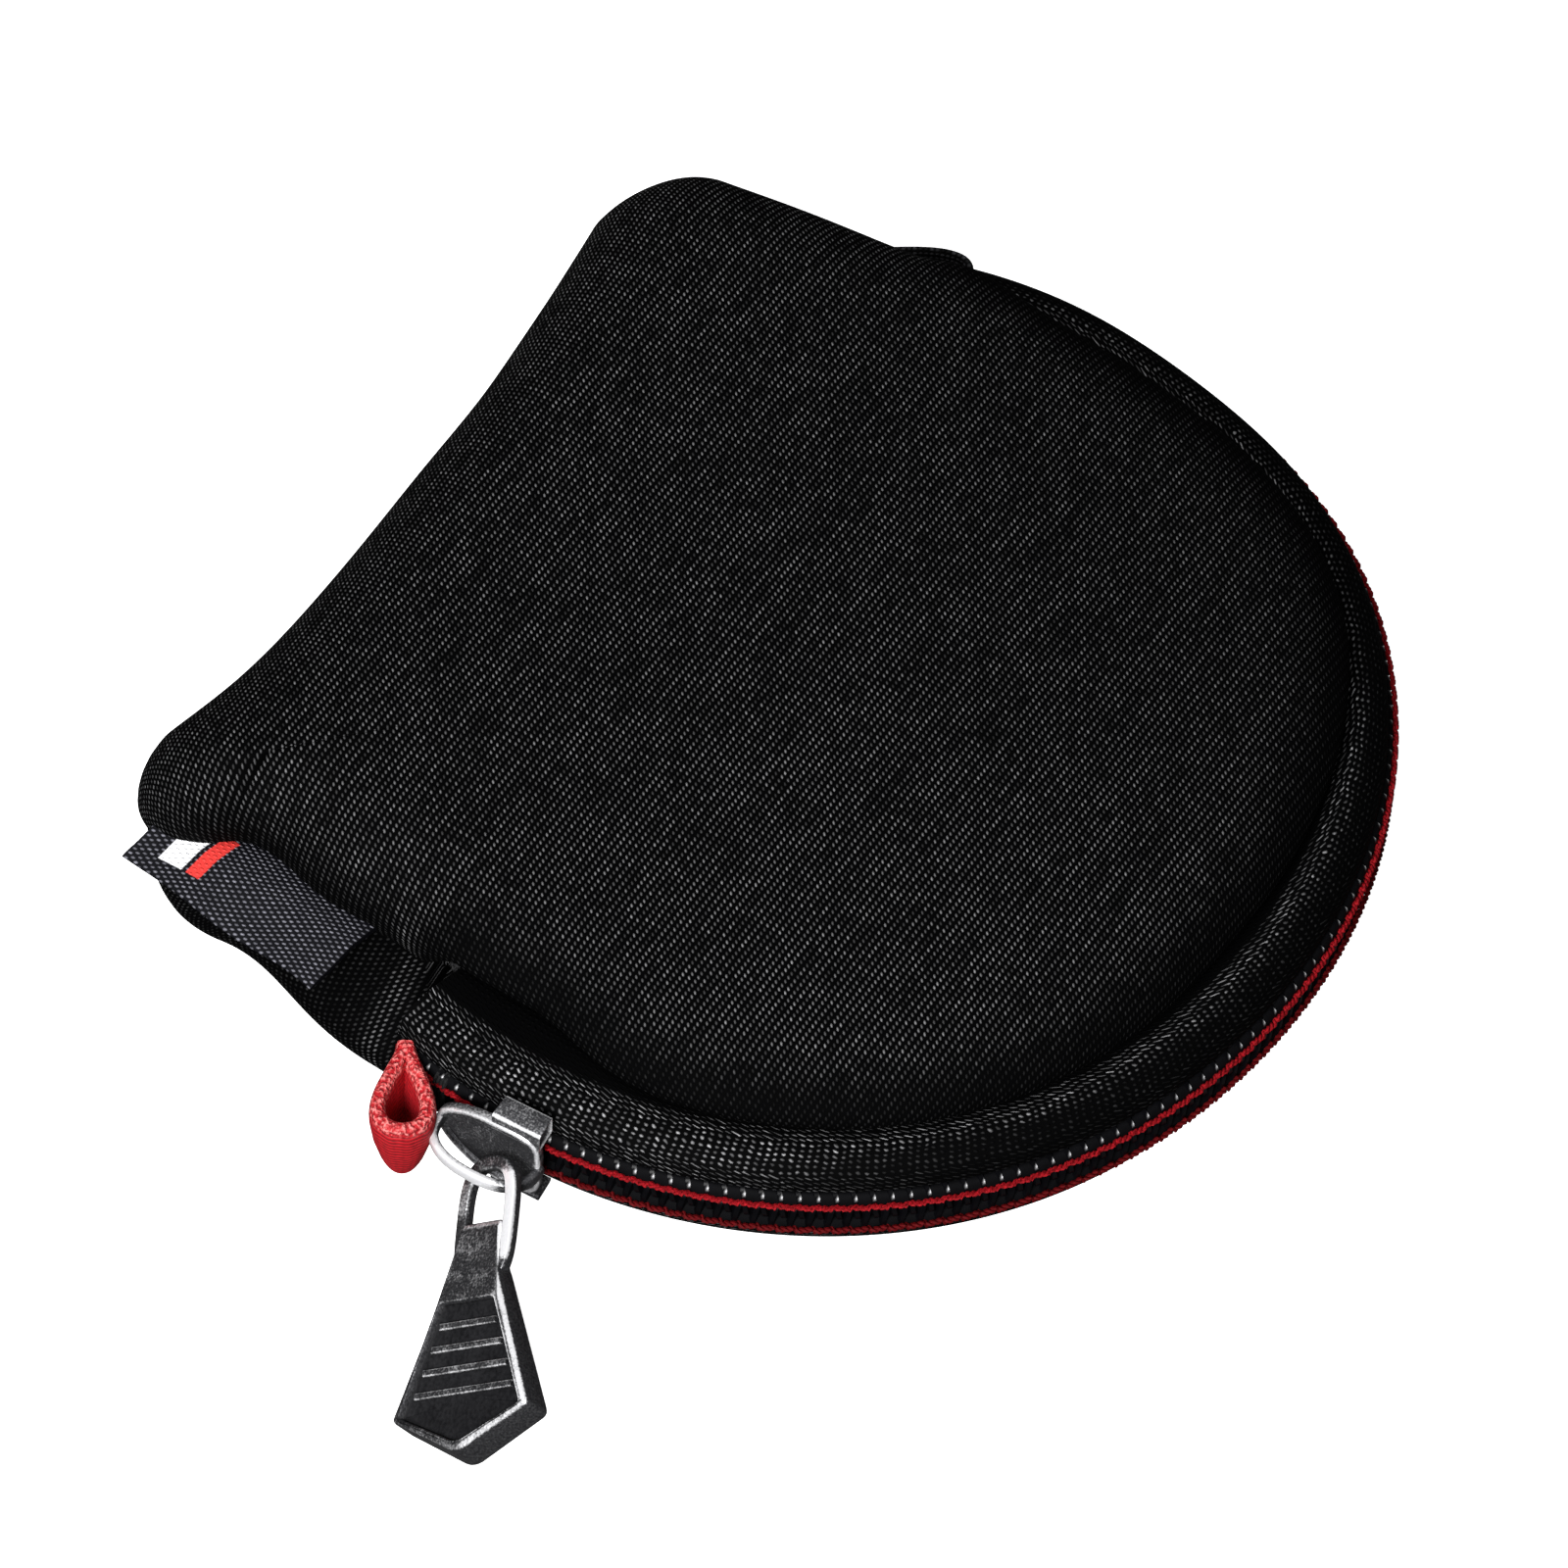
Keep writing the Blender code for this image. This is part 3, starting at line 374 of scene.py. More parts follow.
def weave_dots(across, along, length, width, lean=0.0):
    """Oval dots, one in each unit cell, turned by lean: 1 in the middle, falling to 0 at length and width."""
    right, up = across.fract() - 0.5, along.fract() - 0.5
    far = (right * math.cos(lean) + up * math.sin(lean)) / length
    aside = (up * math.cos(lean) - right * math.sin(lean)) / width
    return (1 - far * far - aside * aside).clamped()


def knit_finish():
    """Black ribbed knit: rows nearly parallel to the spine, with a painted highlight, a light slanting fleck,
    on each stitch.
    """
    stitches, rows, skew = 2.56, 1.95, 0.12
    finish = Finish("black_knit", {"Roughness": 0.8, "Specular IOR Level": 0.02})
    x, y = finish.laid_flat()
    column = x * stitches - y * skew
    row = y * rows + x * skew
    dot = weave_dots(column, row, 0.46, 0.21, 0.54)
    fleck = column.speck(row)
    streak = (column / 9).speck(row)
    patch = finish.noise(1.6, 3.0)
    # Painted highlights on the stitches, dimmed where the piece carries painted shade
    light = dot * (fleck * fleck * 0.6 + streak * 0.25 + 0.1) * (patch * 0.9 + 0.5) * (1 - finish.wear())
    # Painted shade and light: darker towards +x, lighter towards -x and -y
    light = light * (1 - ((x - y) / 60).clamped() * 0.5 + ((x + y) / -60).clamped() * 0.25)
    finish.put("Base Color", light.clamped().between((0.0006, 0.0006, 0.0007, 1), (0.225, 0.225, 0.23, 1)))
    finish.relief(dot, 0.12, 0.7)
    return finish


knit = knit_finish()
cover_lower = make_piece("cover_lower", pad_layer(0.0, KNIT_THICKNESS, DOWN, 0.0), knit, "base",
                         ["base_outer_panel"])
cover_upper = make_piece("cover_upper", pad_layer(0.0, KNIT_THICKNESS, UP, LID_PUFF), knit, None,
                         ["lid_outer_panel", "rear_outer_panel"])

# Foam cores
# Closed-cell foam sheets, two millimetres thick, glued to the back of the knit before the
# pieces are cut. They show only at the round edges when the case is open.
FOAM_DEPTH, FOAM_THICKNESS = 1.05, 2.2


def foam_finish():
    """Dark grey foam with fine open pores on its cut edge."""
    finish = Finish("grey_foam", {"Roughness": 0.9, "Specular IOR Level": 0.2})
    pores = finish.noise(0.35, 1.0)
    shade = (pores * 2.4 - 0.7).clamped()
    finish.put("Base Color", shade.between((0.03, 0.03, 0.032, 1), (0.11, 0.11, 0.112, 1)))
    finish.relief(shade, 0.12)
    return finish


foam = foam_finish()
foam_lower = make_piece("foam_lower", pad_layer(FOAM_DEPTH, FOAM_THICKNESS, DOWN, 0.0), foam, "base",
                        ["base_foam_core"])
foam_upper = make_piece("foam_upper", pad_layer(FOAM_DEPTH, FOAM_THICKNESS, UP, LID_PUFF), foam, None,
                        ["lid_foam_core", "rear_foam_core"])

# Linings
# Plain brushed black polyester, glued over the foam, that touches the filter in the pocket.
LINING_DEPTH, LINING_THICKNESS = 3.3, 0.5


def lining_finish():
    """Brushed plain weave: fine square threads under a soft nap."""
    thread = 0.3
    finish = Finish("brushed_lining", {"Roughness": 0.85, "Specular IOR Level": 0.08})
    x, y = finish.laid_flat()
    dot = weave_dots(x / thread, y / thread, 0.6, 0.6)
    nap = finish.noise(1.2, 3.0)
    shade = (dot * 0.5 + nap * 0.6).clamped()
    finish.put("Base Color", shade.between((0.006, 0.006, 0.0065, 1), (0.035, 0.035, 0.038, 1)))
    finish.relief(shade, 0.08)
    return finish


lining = lining_finish()
make_piece("lining_lower", pad_layer(LINING_DEPTH, LINING_THICKNESS, DOWN, 0.0), lining, "base",
           ["base_lining"])
make_piece("lining_upper", pad_layer(LINING_DEPTH, LINING_THICKNESS, UP, LID_PUFF), lining, None,
           ["lid_lining", "rear_lining"])

# Zip tapes
# Black herringbone tape, half a millimetre thick, sewn under each padded edge. It bulges out
# of the edge as a soft band and turns down to carry the coil on its outer face.
TAPE_OUTER = -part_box("base_zip_tape")[0].y / MM
COIL_OUTER = -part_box("lid_zip_coil")[0].y / MM
ZIP_RADIUS = 40.3
TAPE_THICKNESS = 0.35
TAPE_ROOT, TAPE_SLOPE = 33.0, 0.5
TAPE_SHOULDER, TAPE_BULGE = 38.0, 1.2
TAPE_TOP, TAPE_DROP = 5.0, 2.4
TAPE_UNDERCUT = 0.35
TAPE_EDGE = 0.7
TAPE_END = math.radians(105.5)
# Where the soft zip strays from its circle: an angle, how far round it spreads, and by how much
ZIP_SWAY = ((-0.10, 0.45, -0.57), (0.85, 0.28, 0.25), (1.36, 0.24, -0.5))


def round_zip(radius, angle, height):
    """Points on the zip circle: angle 0 is the front, plus is the far side, 0 height the middle."""
    sway = sum(amount * np.exp(-((angle - place) / spread) ** 2) for place, spread, amount in ZIP_SWAY)
    radius = radius + sway
    return np.stack(np.broadcast_arrays(radius * np.sin(angle), -radius * np.cos(angle), MID + height), -1)


def tape_line(inset):
    """Radius and height of the tape's face, drawn in by inset.

    A slope rises to the shoulder, a quarter ellipse rolls out past the coil's foot, an undercut
    comes back to that foot, and a plain wall carries the coil.
    """
    turn = np.linspace(0, math.pi / 2, 12)
    slope = np.linspace(0, 1, 6)[:-1]
    slope_r = TAPE_ROOT + (TAPE_SHOULDER - TAPE_ROOT) * slope
    slope_h = TAPE_TOP - inset - TAPE_SLOPE * (1 - slope) ** 2
    turn_r = TAPE_SHOULDER + (TAPE_OUTER + TAPE_BULGE - TAPE_SHOULDER - inset) * np.sin(turn)
    turn_h = TAPE_TOP - TAPE_DROP + (TAPE_DROP - inset) * np.cos(turn)
    wall_h = np.linspace(TAPE_TOP - TAPE_DROP - TAPE_UNDERCUT, TAPE_EDGE, 5)
    wall_r = np.full_like(wall_h, TAPE_OUTER - inset)
    return np.concatenate([slope_r, turn_r, wall_r]), np.concatenate([slope_h, turn_h, wall_h])


def zip_tape(side):
    """The tape's closed section carried round the zip circle."""
    outer_r, outer_h = tape_line(0.0)
    inner_r, inner_h = tape_line(TAPE_THICKNESS)
    radius = np.concatenate([outer_r, inner_r[::-1]])
    height = np.concatenate([outer_h, inner_h[::-1]])
    length = np.concatenate([[0], np.cumsum(np.hypot(np.diff(radius), np.diff(height)))])
    angle = np.linspace(-TAPE_END, TAPE_END, 301)[:, None]
    rings = round_zip(radius[None], angle, side * height[None])
    laid = np.stack(np.broadcast_arrays(angle * ZIP_RADIUS, length[None]), -1)
    return [closed_skin(rings, laid)]


def fade_socket(value, start, length):
    """fade() as shader maths."""
    share = ((value - start) / length).clamped()
    return share * share * (3 - share * 2)


def tape_finish():
    """Herringbone: short light dashes, painted highlights, in rows that drift one way and then the
    other, with painted shade where the tape turns down and where it tucks in under the pad.
    """
    dash, row_width, stripe, lean = 0.60, 0.40, 2.6, 0.9
    finish = Finish("zip_tape", {"Roughness": 0.75, "Specular IOR Level": 0.03})
    x, y = finish.laid_flat()
    swing = finish.start.maths("PINGPONG", y, stripe)
    stray = finish.noise(1.1, 2.0) * 1.5
    column = (x + swing * lean) / dash + stray
    row = y / row_width + stray
    column = column + row.floor() * 0.5
    dot = weave_dots(column, row, 0.46, 0.20, 0.6)
    fleck = column.speck(row)
    # Painted shade: dark where the tape turns down and where it tucks in, less so by the near end of the zip
    near_end = 1 - fade_socket(x, -50.0, 18.0)
    turned_down_shade = fade_socket(y - near_end * 1.4, 4.9, 1.6) * (0.95 - near_end * 0.5)
    tucked_in_shade = 1 - fade_socket(y, 3.9, 1.0)
    light = dot * (fleck * fleck * 0.8 + 0.15) * (finish.noise(1.5) * 1.4 + 0.3)
    light = light * (1 - turned_down_shade) * (1 - tucked_in_shade)
    finish.put("Base Color", light.clamped().between((0.0004, 0.0004, 0.0005, 1), (0.42, 0.42, 0.43, 1)))
    finish.relief(dot, 0.14, 0.8)
    return finish


tape = tape_finish()
make_piece("tape_lower", zip_tape(DOWN), tape, "base", ["base_zip_tape"])
make_piece("tape_upper", zip_tape(UP), tape, None,
           ["lid_zip_tape", "near_end_zip_tape", "far_end_zip_tape"])

# Seam bindings
# A folded strip of the same black tape covers the raw edges of foam, lining and zip tape,
# sewn through all of them inside the round edge.
BINDING_CENTRE, BINDING_HALF_WIDTH = 32.9, 1.25
BINDING_HEIGHT, BINDING_HALF_HEIGHT = 4.35, 0.55
BINDING_END = math.radians(98.0)


def circle(count):
    """Angles evenly round a full turn, as many as count."""
    return np.linspace(0, 2 * math.pi, count + 1)[:-1]


def bowed(wave, power):
    """A wave from -1 to 1 raised to a power with its sign kept; below 1 it squares off a circle."""
    return np.sign(wave) * np.abs(wave) ** power


def seam_binding(side):
    """A flat rounded section, a superellipse, carried round inside the zip."""
    turn = circle(16)
    radius = BINDING_CENTRE + BINDING_HALF_WIDTH * bowed(np.cos(turn), 0.6)
    height = BINDING_HEIGHT + BINDING_HALF_HEIGHT * np.sin(turn)
    angle = np.linspace(-BINDING_END, BINDING_END, 181)[:, None]
    rings = round_zip(radius[None], angle, side * height[None])
    laid = np.stack(np.broadcast_arrays(angle * BINDING_CENTRE, turn[None]), -1)
    return [closed_skin(rings, laid)]


make_piece("binding_lower", seam_binding(DOWN), tape, "base", ["base_seam_binding"])
make_piece("binding_upper", seam_binding(UP), tape, None,
           ["lid_seam_binding", "near_end_seam_binding", "far_end_seam_binding"])

# Zip coils
# Each half of the chain is one black nylon monofilament wound flat round a filler cord, a turn
# every 1.27 mm. The heads of the two halves lock between each other half a turn apart.
CORD_RADIUS, CORD_HALF_THICKNESS = 40.68, 0.50
CORD_HEIGHT, CORD_HALF_WIDTH = 1.55, 0.8
GLINT_TURN, GLINT_SPREAD = 0.7, 0.12
COIL_PITCH = 1.27
COIL_THICKNESS = 0.62
COIL_HEEL, COIL_HEAD = 2.3, -0.55
COIL_DEPTH = (COIL_OUTER - TAPE_OUTER) / 2 - COIL_THICKNESS / 2
COIL_END = math.radians(103.5)


def strand(path, aside, thickness, sides=6):
    """A round strand: ring points are path + half its thickness round the path's own heading."""
    heading = np.gradient(path, axis=0)
    heading /= np.linalg.norm(heading, axis=1)[:, None]
    first = aside - np.sum(aside * heading, 1)[:, None] * heading
    first /= np.linalg.norm(first, axis=1)[:, None]
    second = np.cross(heading, first)
    turn = np.arange(sides) * 2 * math.pi / sides
    ring = np.cos(turn)[None, :, None] * first[:, None] + np.sin(turn)[None, :, None] * second[:, None]
    half = np.broadcast_to(np.asarray(thickness) / 2, len(path))
    return path[:, None] + half[:, None, None] * ring


def zip_coil(side, shift):
    """A flat helix round the zip circle: height and radius follow rounded cosine and sine."""
    turns = int(2 * COIL_END * ZIP_RADIUS / COIL_PITCH) - 1
    turn = np.linspace(0, turns * 2 * math.pi, turns * 18 + 1)
    rise, depth = np.cos(turn), np.sin(turn)
    height = (COIL_HEEL + COIL_HEAD) / 2 + (COIL_HEEL - COIL_HEAD) / 2 * bowed(rise, 0.8)
    radius = (TAPE_OUTER + COIL_OUTER) / 2 + COIL_DEPTH * bowed(depth, 0.7)
    angle = -COIL_END + (turn / (2 * math.pi) + shift) * COIL_PITCH / ZIP_RADIUS
    path = round_zip(radius, angle, side * height)
    aside = np.stack([np.cos(angle), np.sin(angle), 0 * angle], -1)
    swell = COIL_THICKNESS * (1 + 0.18 * fade(-height, -0.6, 0.9))
    # Painted highlight: one point on each heel, facing up, is marked to take a pale glint in its colour
    facing_up = np.arange(6) == (1 if side == UP else 5)
    painted_glint = np.exp(-((turn % (2 * math.pi) - GLINT_TURN) / GLINT_SPREAD) ** 2)[:, None] * facing_up
    around = circle(12)
    along = np.linspace(-COIL_END, COIL_END, 301)[:, None]
    cord = round_zip(CORD_RADIUS + CORD_HALF_THICKNESS * np.cos(around), along,
                     side * (CORD_HEIGHT + CORD_HALF_WIDTH * np.sin(around)))
    return [closed_skin(strand(path, aside, swell), wear=painted_glint),
            closed_skin(cord, laid=np.ones((301, 12, 2)))]


def coil_finish():
    """Glossy black nylon with a painted highlight, a pale glint, in the colour of each heel; the cord, laid
    at 1, is dull.
    """
    finish = Finish("nylon_coil", {"Specular IOR Level": 0.07})
    haze = finish.noise(0.8)
    cord = finish.laid_flat()[0]
    wear = finish.wear()
    glint = wear * wear * wear
    black = haze.between((0.0006, 0.0006, 0.0008, 1), (0.003, 0.003, 0.004, 1))
    finish.put("Base Color", glint.between(black, (0.95, 0.95, 0.97, 1)))
    finish.put("Roughness", haze * 0.12 + cord * 0.5 + 0.24)
    return finish


coil = coil_finish()
make_piece("coil_lower", zip_coil(DOWN, 0.75), coil, "base", ["base_zip_coil"])
make_piece("coil_upper", zip_coil(UP, 0.25), coil, None,
           ["lid_zip_coil", "near_end_zip_coil", "far_end_zip_coil"])

# Coil stitching
# Twisted red polyester thread sews each coil to its tape with a chain stitch that lies over
# the legs of the coil: one slanting stitch for each turn.
THREAD_LINE = 1.4
THREAD_RADIUS = 41.40
THREAD_PLY = 0.27
THREAD_SLANT = 0.15
THREAD_TWIST = 0.85
THREAD_END = math.radians(102.5)


def stitching(side):
    """Two plies wound round a line that slants across each turn and dips where a stitch ends."""
    length = THREAD_END * ZIP_RADIUS
    place = np.arange(-length, length, COIL_PITCH / 9)
    share = (place / COIL_PITCH) % 1.0
    slant = THREAD_SLANT * (1 - 2 * share) * (1 - fade(share, 0.82, 0.18) * 2)
    dip = 0.20 * np.exp(-((share - 0.93) / 0.09) ** 2)
    skins = []
    for ply in (0, 1):
        twist = 2 * math.pi * place / THREAD_TWIST + ply * math.pi
        radius = THREAD_RADIUS - dip + THREAD_PLY * 0.42 * np.cos(twist)
        height = THREAD_LINE + slant + THREAD_PLY * 0.42 * np.sin(twist)
        angle = place / ZIP_RADIUS
        path = round_zip(radius, angle, side * height)
        outward = np.stack([np.sin(angle), -np.cos(angle), 0 * angle], -1)
        rings = strand(path, outward, THREAD_PLY, 5)
        # Painted shade: the lower row is marked to be coloured darker
        skins.append(closed_skin(rings, wear=np.full(rings.shape[:2], float(side == DOWN))))
    return skins


def thread_finish():
    """Red twisted thread, darker where its fibres turn away and, as painted shade, all along the lower row.
    """
    finish = Finish("red_thread", {"Roughness": 0.7, "Specular IOR Level": 0.1})
    fibre = finish.noise(0.18, 1.0)
    shade = ((fibre * 1.6 - 0.3) * (1 - finish.wear() * 0.8)).clamped()
    finish.put("Base Color", shade.between((0.05, 0.0005, 0.001, 1), (0.36, 0.006, 0.012, 1)))
    finish.relief(shade, 0.05)
    return finish


thread = thread_finish()
make_piece("stitches_lower", stitching(DOWN), thread, "base", ["base_zip_stitching"])
make_piece("stitches_upper", stitching(UP), thread, None,
           ["lid_zip_stitching", "near_end_zip_stitching", "far_end_zip_stitching"])

# Bar tacks
# A dense block of black stitches across both tapes stops the slider at each end of the coil.
TACK_START = math.radians(98.6)
TACK_THREADS, TACK_SPACING, TACK_THREAD = 4, 0.26, 0.34
TACK_HALF_HEIGHT = 2.3


def bar_tack(sign):
    """Upright stitches side by side, each bowed out in the middle and turned in at its ends."""
    share = np.linspace(-1, 1, 15)
    skins = []
    for count in range(TACK_THREADS):
        angle = sign * (TACK_START + count * TACK_SPACING / ZIP_RADIUS)
        radius = COIL_OUTER + 0.12 - 0.9 * np.abs(share) ** 6
        path = round_zip(radius, angle + 0 * share, TACK_HALF_HEIGHT * share)
        aside = np.broadcast_to([math.cos(angle), math.sin(angle), 0.0], path.shape)
        skins.append(closed_skin(strand(path, aside, TACK_THREAD)))
    return skins


def black_thread_finish():
    """Black sewing thread with light fibres."""
    finish = Finish("black_thread", {"Roughness": 0.7, "Specular IOR Level": 0.08})
    fibre = finish.noise(0.2, 1.0)
    finish.put("Base Color", fibre.between((0.001, 0.001, 0.001, 1), (0.02, 0.02, 0.021, 1)))
    finish.relief(fibre, 0.05)
    return finish


black_thread = black_thread_finish()
make_piece("tack_near", bar_tack(-1), black_thread, "base", ["near_bar_tack"])
make_piece("tack_far", bar_tack(1), black_thread, "base", ["far_bar_tack"])

# Red loop
# Ribbed red ribbon folded on itself and caught in the seam where the zip begins, to hold the
# case by when the zip is drawn. Its lower edge curls in, so it narrows to a rounded tip.
LOOP_ROOT = (-39.6, 10.0)
LOOP_HEADING = math.pi + math.radians(29.0)
LOOP_LENGTH, LOOP_HALF_WIDTH = 7.3, 1.75
LOOP_THICKNESS = 1.35
LOOP_TOP, LOOP_BOTTOM = 3.1, -3.9
LOOP_TIP_SHARE = 0.6
LOOP_STEM = 0.5
LOOP_TIP_PLACE = 0.86


def folded_ribbon(root, heading, length, half_width, thickness, top, bottom, narrowing, stem):
    """A folded ribbon: a teardrop in plan, carried down and drawn in towards its outer end.

    The teardrop's middle line runs length * (1 - cos t) / 2 forward and sin t * (1 - cos t) to
    the side, and both its ends go back into the seam by the stem. Each row of the skin goes
    round the ribbon's own section, an oval of its width.
    """
    turn = np.linspace(0.62, 2 * math.pi - 0.62, 61)
    widest = math.sin(2 * math.pi / 3) * 1.5
    forward = length * (1 - np.cos(turn)) / 2
    sideways = half_width * np.sin(turn) * (1 - np.cos(turn)) / widest
    along = np.array([math.cos(heading), math.sin(heading)])
    across = np.array([-along[1], along[0]])
    line = np.array(root) + forward[:, None] * along + sideways[:, None] * across
    line = np.vstack([line[:1] - stem * along, line, line[-1:] - stem * along])
    tangent = np.gradient(line, axis=0)
    tangent /= np.linalg.norm(tangent, axis=1)[:, None]
    outward = np.stack([tangent[:, 1], -tangent[:, 0]], -1)
    section = circle(40)
    rise, proud = bowed(np.sin(section), 0.35), bowed(np.cos(section), 0.8)
    height = (top + bottom) / 2 + (top - bottom) / 2 * rise
    down = np.clip((top - height) / (top - bottom), 0, 1)
    tip = np.array(root) + length * LOOP_TIP_PLACE * along
    draw = 1 - narrowing * down ** 2.2
    plan = line[:, None] + outward[:, None] * (thickness / 2 * proud)[None, :, None]
    plan = tip + (plan - tip) * draw[None, :, None]
    rings = np.concatenate([plan, np.broadcast_to(MID + height, plan.shape[:2])[..., None]], -1)
    walked = np.concatenate([[0], np.cumsum(np.linalg.norm(np.diff(line, axis=0), axis=1))])
    laid = np.stack(np.broadcast_arrays(walked[:, None], height[None]), -1)
    return [closed_skin(rings, laid)]


def ribbon_finish():
    """Ribbed red ribbon: fine level ribs that waver, with a painted highlight of pale grains along the folded
    top edge.
    """
    rib, waver_length = 0.40, 1.1
    finish = Finish("red_ribbon", {"Roughness": 0.6, "Specular IOR Level": 0.25})
    x, y = finish.laid_flat()
    waver = finish.start.maths("SINE", x * (2 * math.pi / waver_length)) * 0.16
    row = y / rib + waver
    ridge = weave_dots(x / 0.55, row, 1.1, 0.55)
    grain = ((finish.noise(0.28, 1.0) - 0.5) * 3.2 + 0.5).clamped()
    edge_band = fade_socket(y, LOOP_TOP - 0.9, 0.5)
    shade = (ridge * 0.8 + grain * 0.25).clamped()
    red = shade.between((0.10, 0.0007, 0.002, 1), (0.50, 0.009, 0.016, 1))
    # Painted highlight: pale grains along the top edge
    pale = (edge_band * grain * grain * 0.7).clamped()
    finish.put("Base Color", pale.between(red, (0.95, 0.30, 0.28, 1)))
    finish.relief((ridge * (1 - edge_band) * 0.7 + grain * edge_band).clamped(), 0.16, 0.9)
    return finish


ribbon = ribbon_finish()
make_piece("loop_red", folded_ribbon(LOOP_ROOT, LOOP_HEADING, LOOP_LENGTH, LOOP_HALF_WIDTH, LOOP_THICKNESS,
                                     LOOP_TOP, LOOP_BOTTOM, LOOP_TIP_SHARE, LOOP_STEM),
           ribbon, "base", ["near_loop"])

# End tab
# A short fold of plain black ribbon covers the far end of the zip, where the slider stops.
TAB_ROOT = (36.6, 18.3)
TAB_HEADING = math.radians(-70.0)
TAB_LENGTH, TAB_HALF_WIDTH, TAB_THICKNESS = 8.4, 1.1, 0.8
TAB_TOP, TAB_BOTTOM = 3.4, -3.0
TAB_TIP_SHARE, TAB_STEM = 0.2, 0.5


def tab_finish():
    """Black ribbed ribbon."""
    finish = Finish("black_ribbon", {"Roughness": 0.7, "Specular IOR Level": 0.1})
    x, y = finish.laid_flat()
    dot = weave_dots(x / 0.42, y / 0.36, 0.5, 0.42)
    fleck = (x / 0.42).speck(y / 0.36)
    finish.put("Base Color", (dot * fleck).between((0.002, 0.002, 0.002, 1), (0.06, 0.06, 0.065, 1)))
    finish.relief(dot, 0.12)
    return finish


make_piece("tab_far", folded_ribbon(TAB_ROOT, TAB_HEADING, TAB_LENGTH, TAB_HALF_WIDTH, TAB_THICKNESS,
                                    TAB_TOP, TAB_BOTTOM, TAB_TIP_SHARE, TAB_STEM),
           tab_finish(), "base", ["far_tab"])

# Side label
# A folded label of fine black damask, caught in the near side seam. Two short plain bars, one
# white and one red, are woven in near the spine.
LABEL_LENGTH, LABEL_THICKNESS = 17.3, 0.5
LABEL_START = 16.3
LABEL_SPINE_ROOT, LABEL_ZIP_ROOT = -30.6, -31.2
LABEL_SPINE_WIDTH, LABEL_ZIP_WIDTH = 5.8, 7.8
LABEL_DRIFT = 2.0
LABEL_HEIGHT = 2.6
LABEL_SPINE_DROOP, LABEL_ZIP_DROOP = 0.9, 0.9
LABEL_LIFT = 0.5


def label_rings():
    """A strip bent down towards its free edge, rolled at that edge and a little wavy along it."""
    u = np.linspace(0, 1, 73)[:, None]
    section = circle(48)[None]
    out, thick = bowed(np.cos(section), 0.35), bowed(np.sin(section), 0.8)
    share = (out + 1) / 2
    width = LABEL_ZIP_WIDTH + (LABEL_SPINE_WIDTH - LABEL_ZIP_WIDTH) * u
    root = LABEL_ZIP_ROOT + (LABEL_SPINE_ROOT - LABEL_ZIP_ROOT) * u
    across = root - width * share * (1 - 0.02 * np.sin(9 * u))
    along = LABEL_START + LABEL_LENGTH * u + LABEL_DRIFT * share
    droop = LABEL_ZIP_DROOP + (LABEL_SPINE_DROOP - LABEL_ZIP_DROOP) * u
    wave = 0.16 * np.sin(11 * u + 0.7) * share
    lift = LABEL_LIFT * np.sin(math.pi * np.minimum(share * 1.2, 1)) ** 2
    height = MID + LABEL_HEIGHT + lift - droop * share ** 2 + wave + LABEL_THICKNESS / 2 * thick
    rings = np.stack(np.broadcast_arrays(across, along, height), -1)
    laid = np.stack(np.broadcast_arrays(LABEL_LENGTH * u, width * share), -1)
    return [closed_skin(rings, laid)]


def band(value, middle, half_width):
    """1 within half_width of the middle, with a crisp edge."""
    away = value.maths("ABSOLUTE", value - middle)
    return ((half_width - away) / 0.08).clamped()


def label_finish():
    """Fine black weave with a short white and a short red bar woven in near the spine."""
    cell = 0.40
    finish = Finish("label_weave", {"Roughness": 0.65, "Specular IOR Level": 0.1})
    x, y = finish.laid_flat()
    dot = weave_dots(x / cell, y / cell + (x / cell).floor() * 0.5, 0.48, 0.26)
    fleck = (x / cell).speck(y / cell)
    light = dot * (fleck * 0.6 + 0.4)
    ground = light.between((0.0012, 0.0012, 0.0025, 1), (0.22, 0.22, 0.255, 1))
    white = band(x, 14.3, 1.0) * band(y, 3.0, 1.9)
    red = band(x, 12.4, 0.6) * band(y, 3.0, 1.9)
    pale = (dot * 0.35 + 0.6).between((0.3, 0.3, 0.32, 1), (0.95, 0.95, 0.97, 1))
    warm = (dot * 0.5 + 0.5).between((0.25, 0.01, 0.01, 1), (0.90, 0.06, 0.05, 1))
    finish.put("Base Color", red.between(white.between(ground, pale), warm))
    finish.relief(dot, 0.08)
    return finish


make_piece("label", label_rings(), label_finish(), "base", ["side_label"])

# Slider
# A gunmetal-plated zinc casting: a leaf-shaped face plate with a raised rim, two flanges that
# hold the coil, a back plate behind the tape, the post between them and a D-shaped bail.
SLIDER_ANGLE = math.radians(91.9)
PLATE_INNER, PLATE_OUTER = 42.2, 43.0
PLATE_HALF_LENGTH, PLATE_HALF_WIDTH = 4.0, 3.5
PLATE_HEIGHT = 0.6
RIM_WIDTH, FACE_SINK = 0.40, 0.28
BACK_INNER, BACK_OUTER = 37.85, 38.75
BACK_HALF_LENGTH, BACK_BOTTOM, BACK_TOP = 3.9, -3.3, 3.6
POST_START, POST_END, POST_HALF_HEIGHT = 1.3, 3.2, 0.4
POST_OVERLAP = 0.2
FLANGE_START, FLANGE_END = -3.95, -0.35
UPPER_FLANGE, LOWER_FLANGE = (3.05, 4.9, 0.95), (-3.3, -2.8, 0.3)
FLANGE_INNER = 40.9
BAIL_PLACE, BAIL_HEIGHT = -0.1, 0.5
BAIL_HALF_LENGTH, BAIL_RISE = 3.8, 2.9
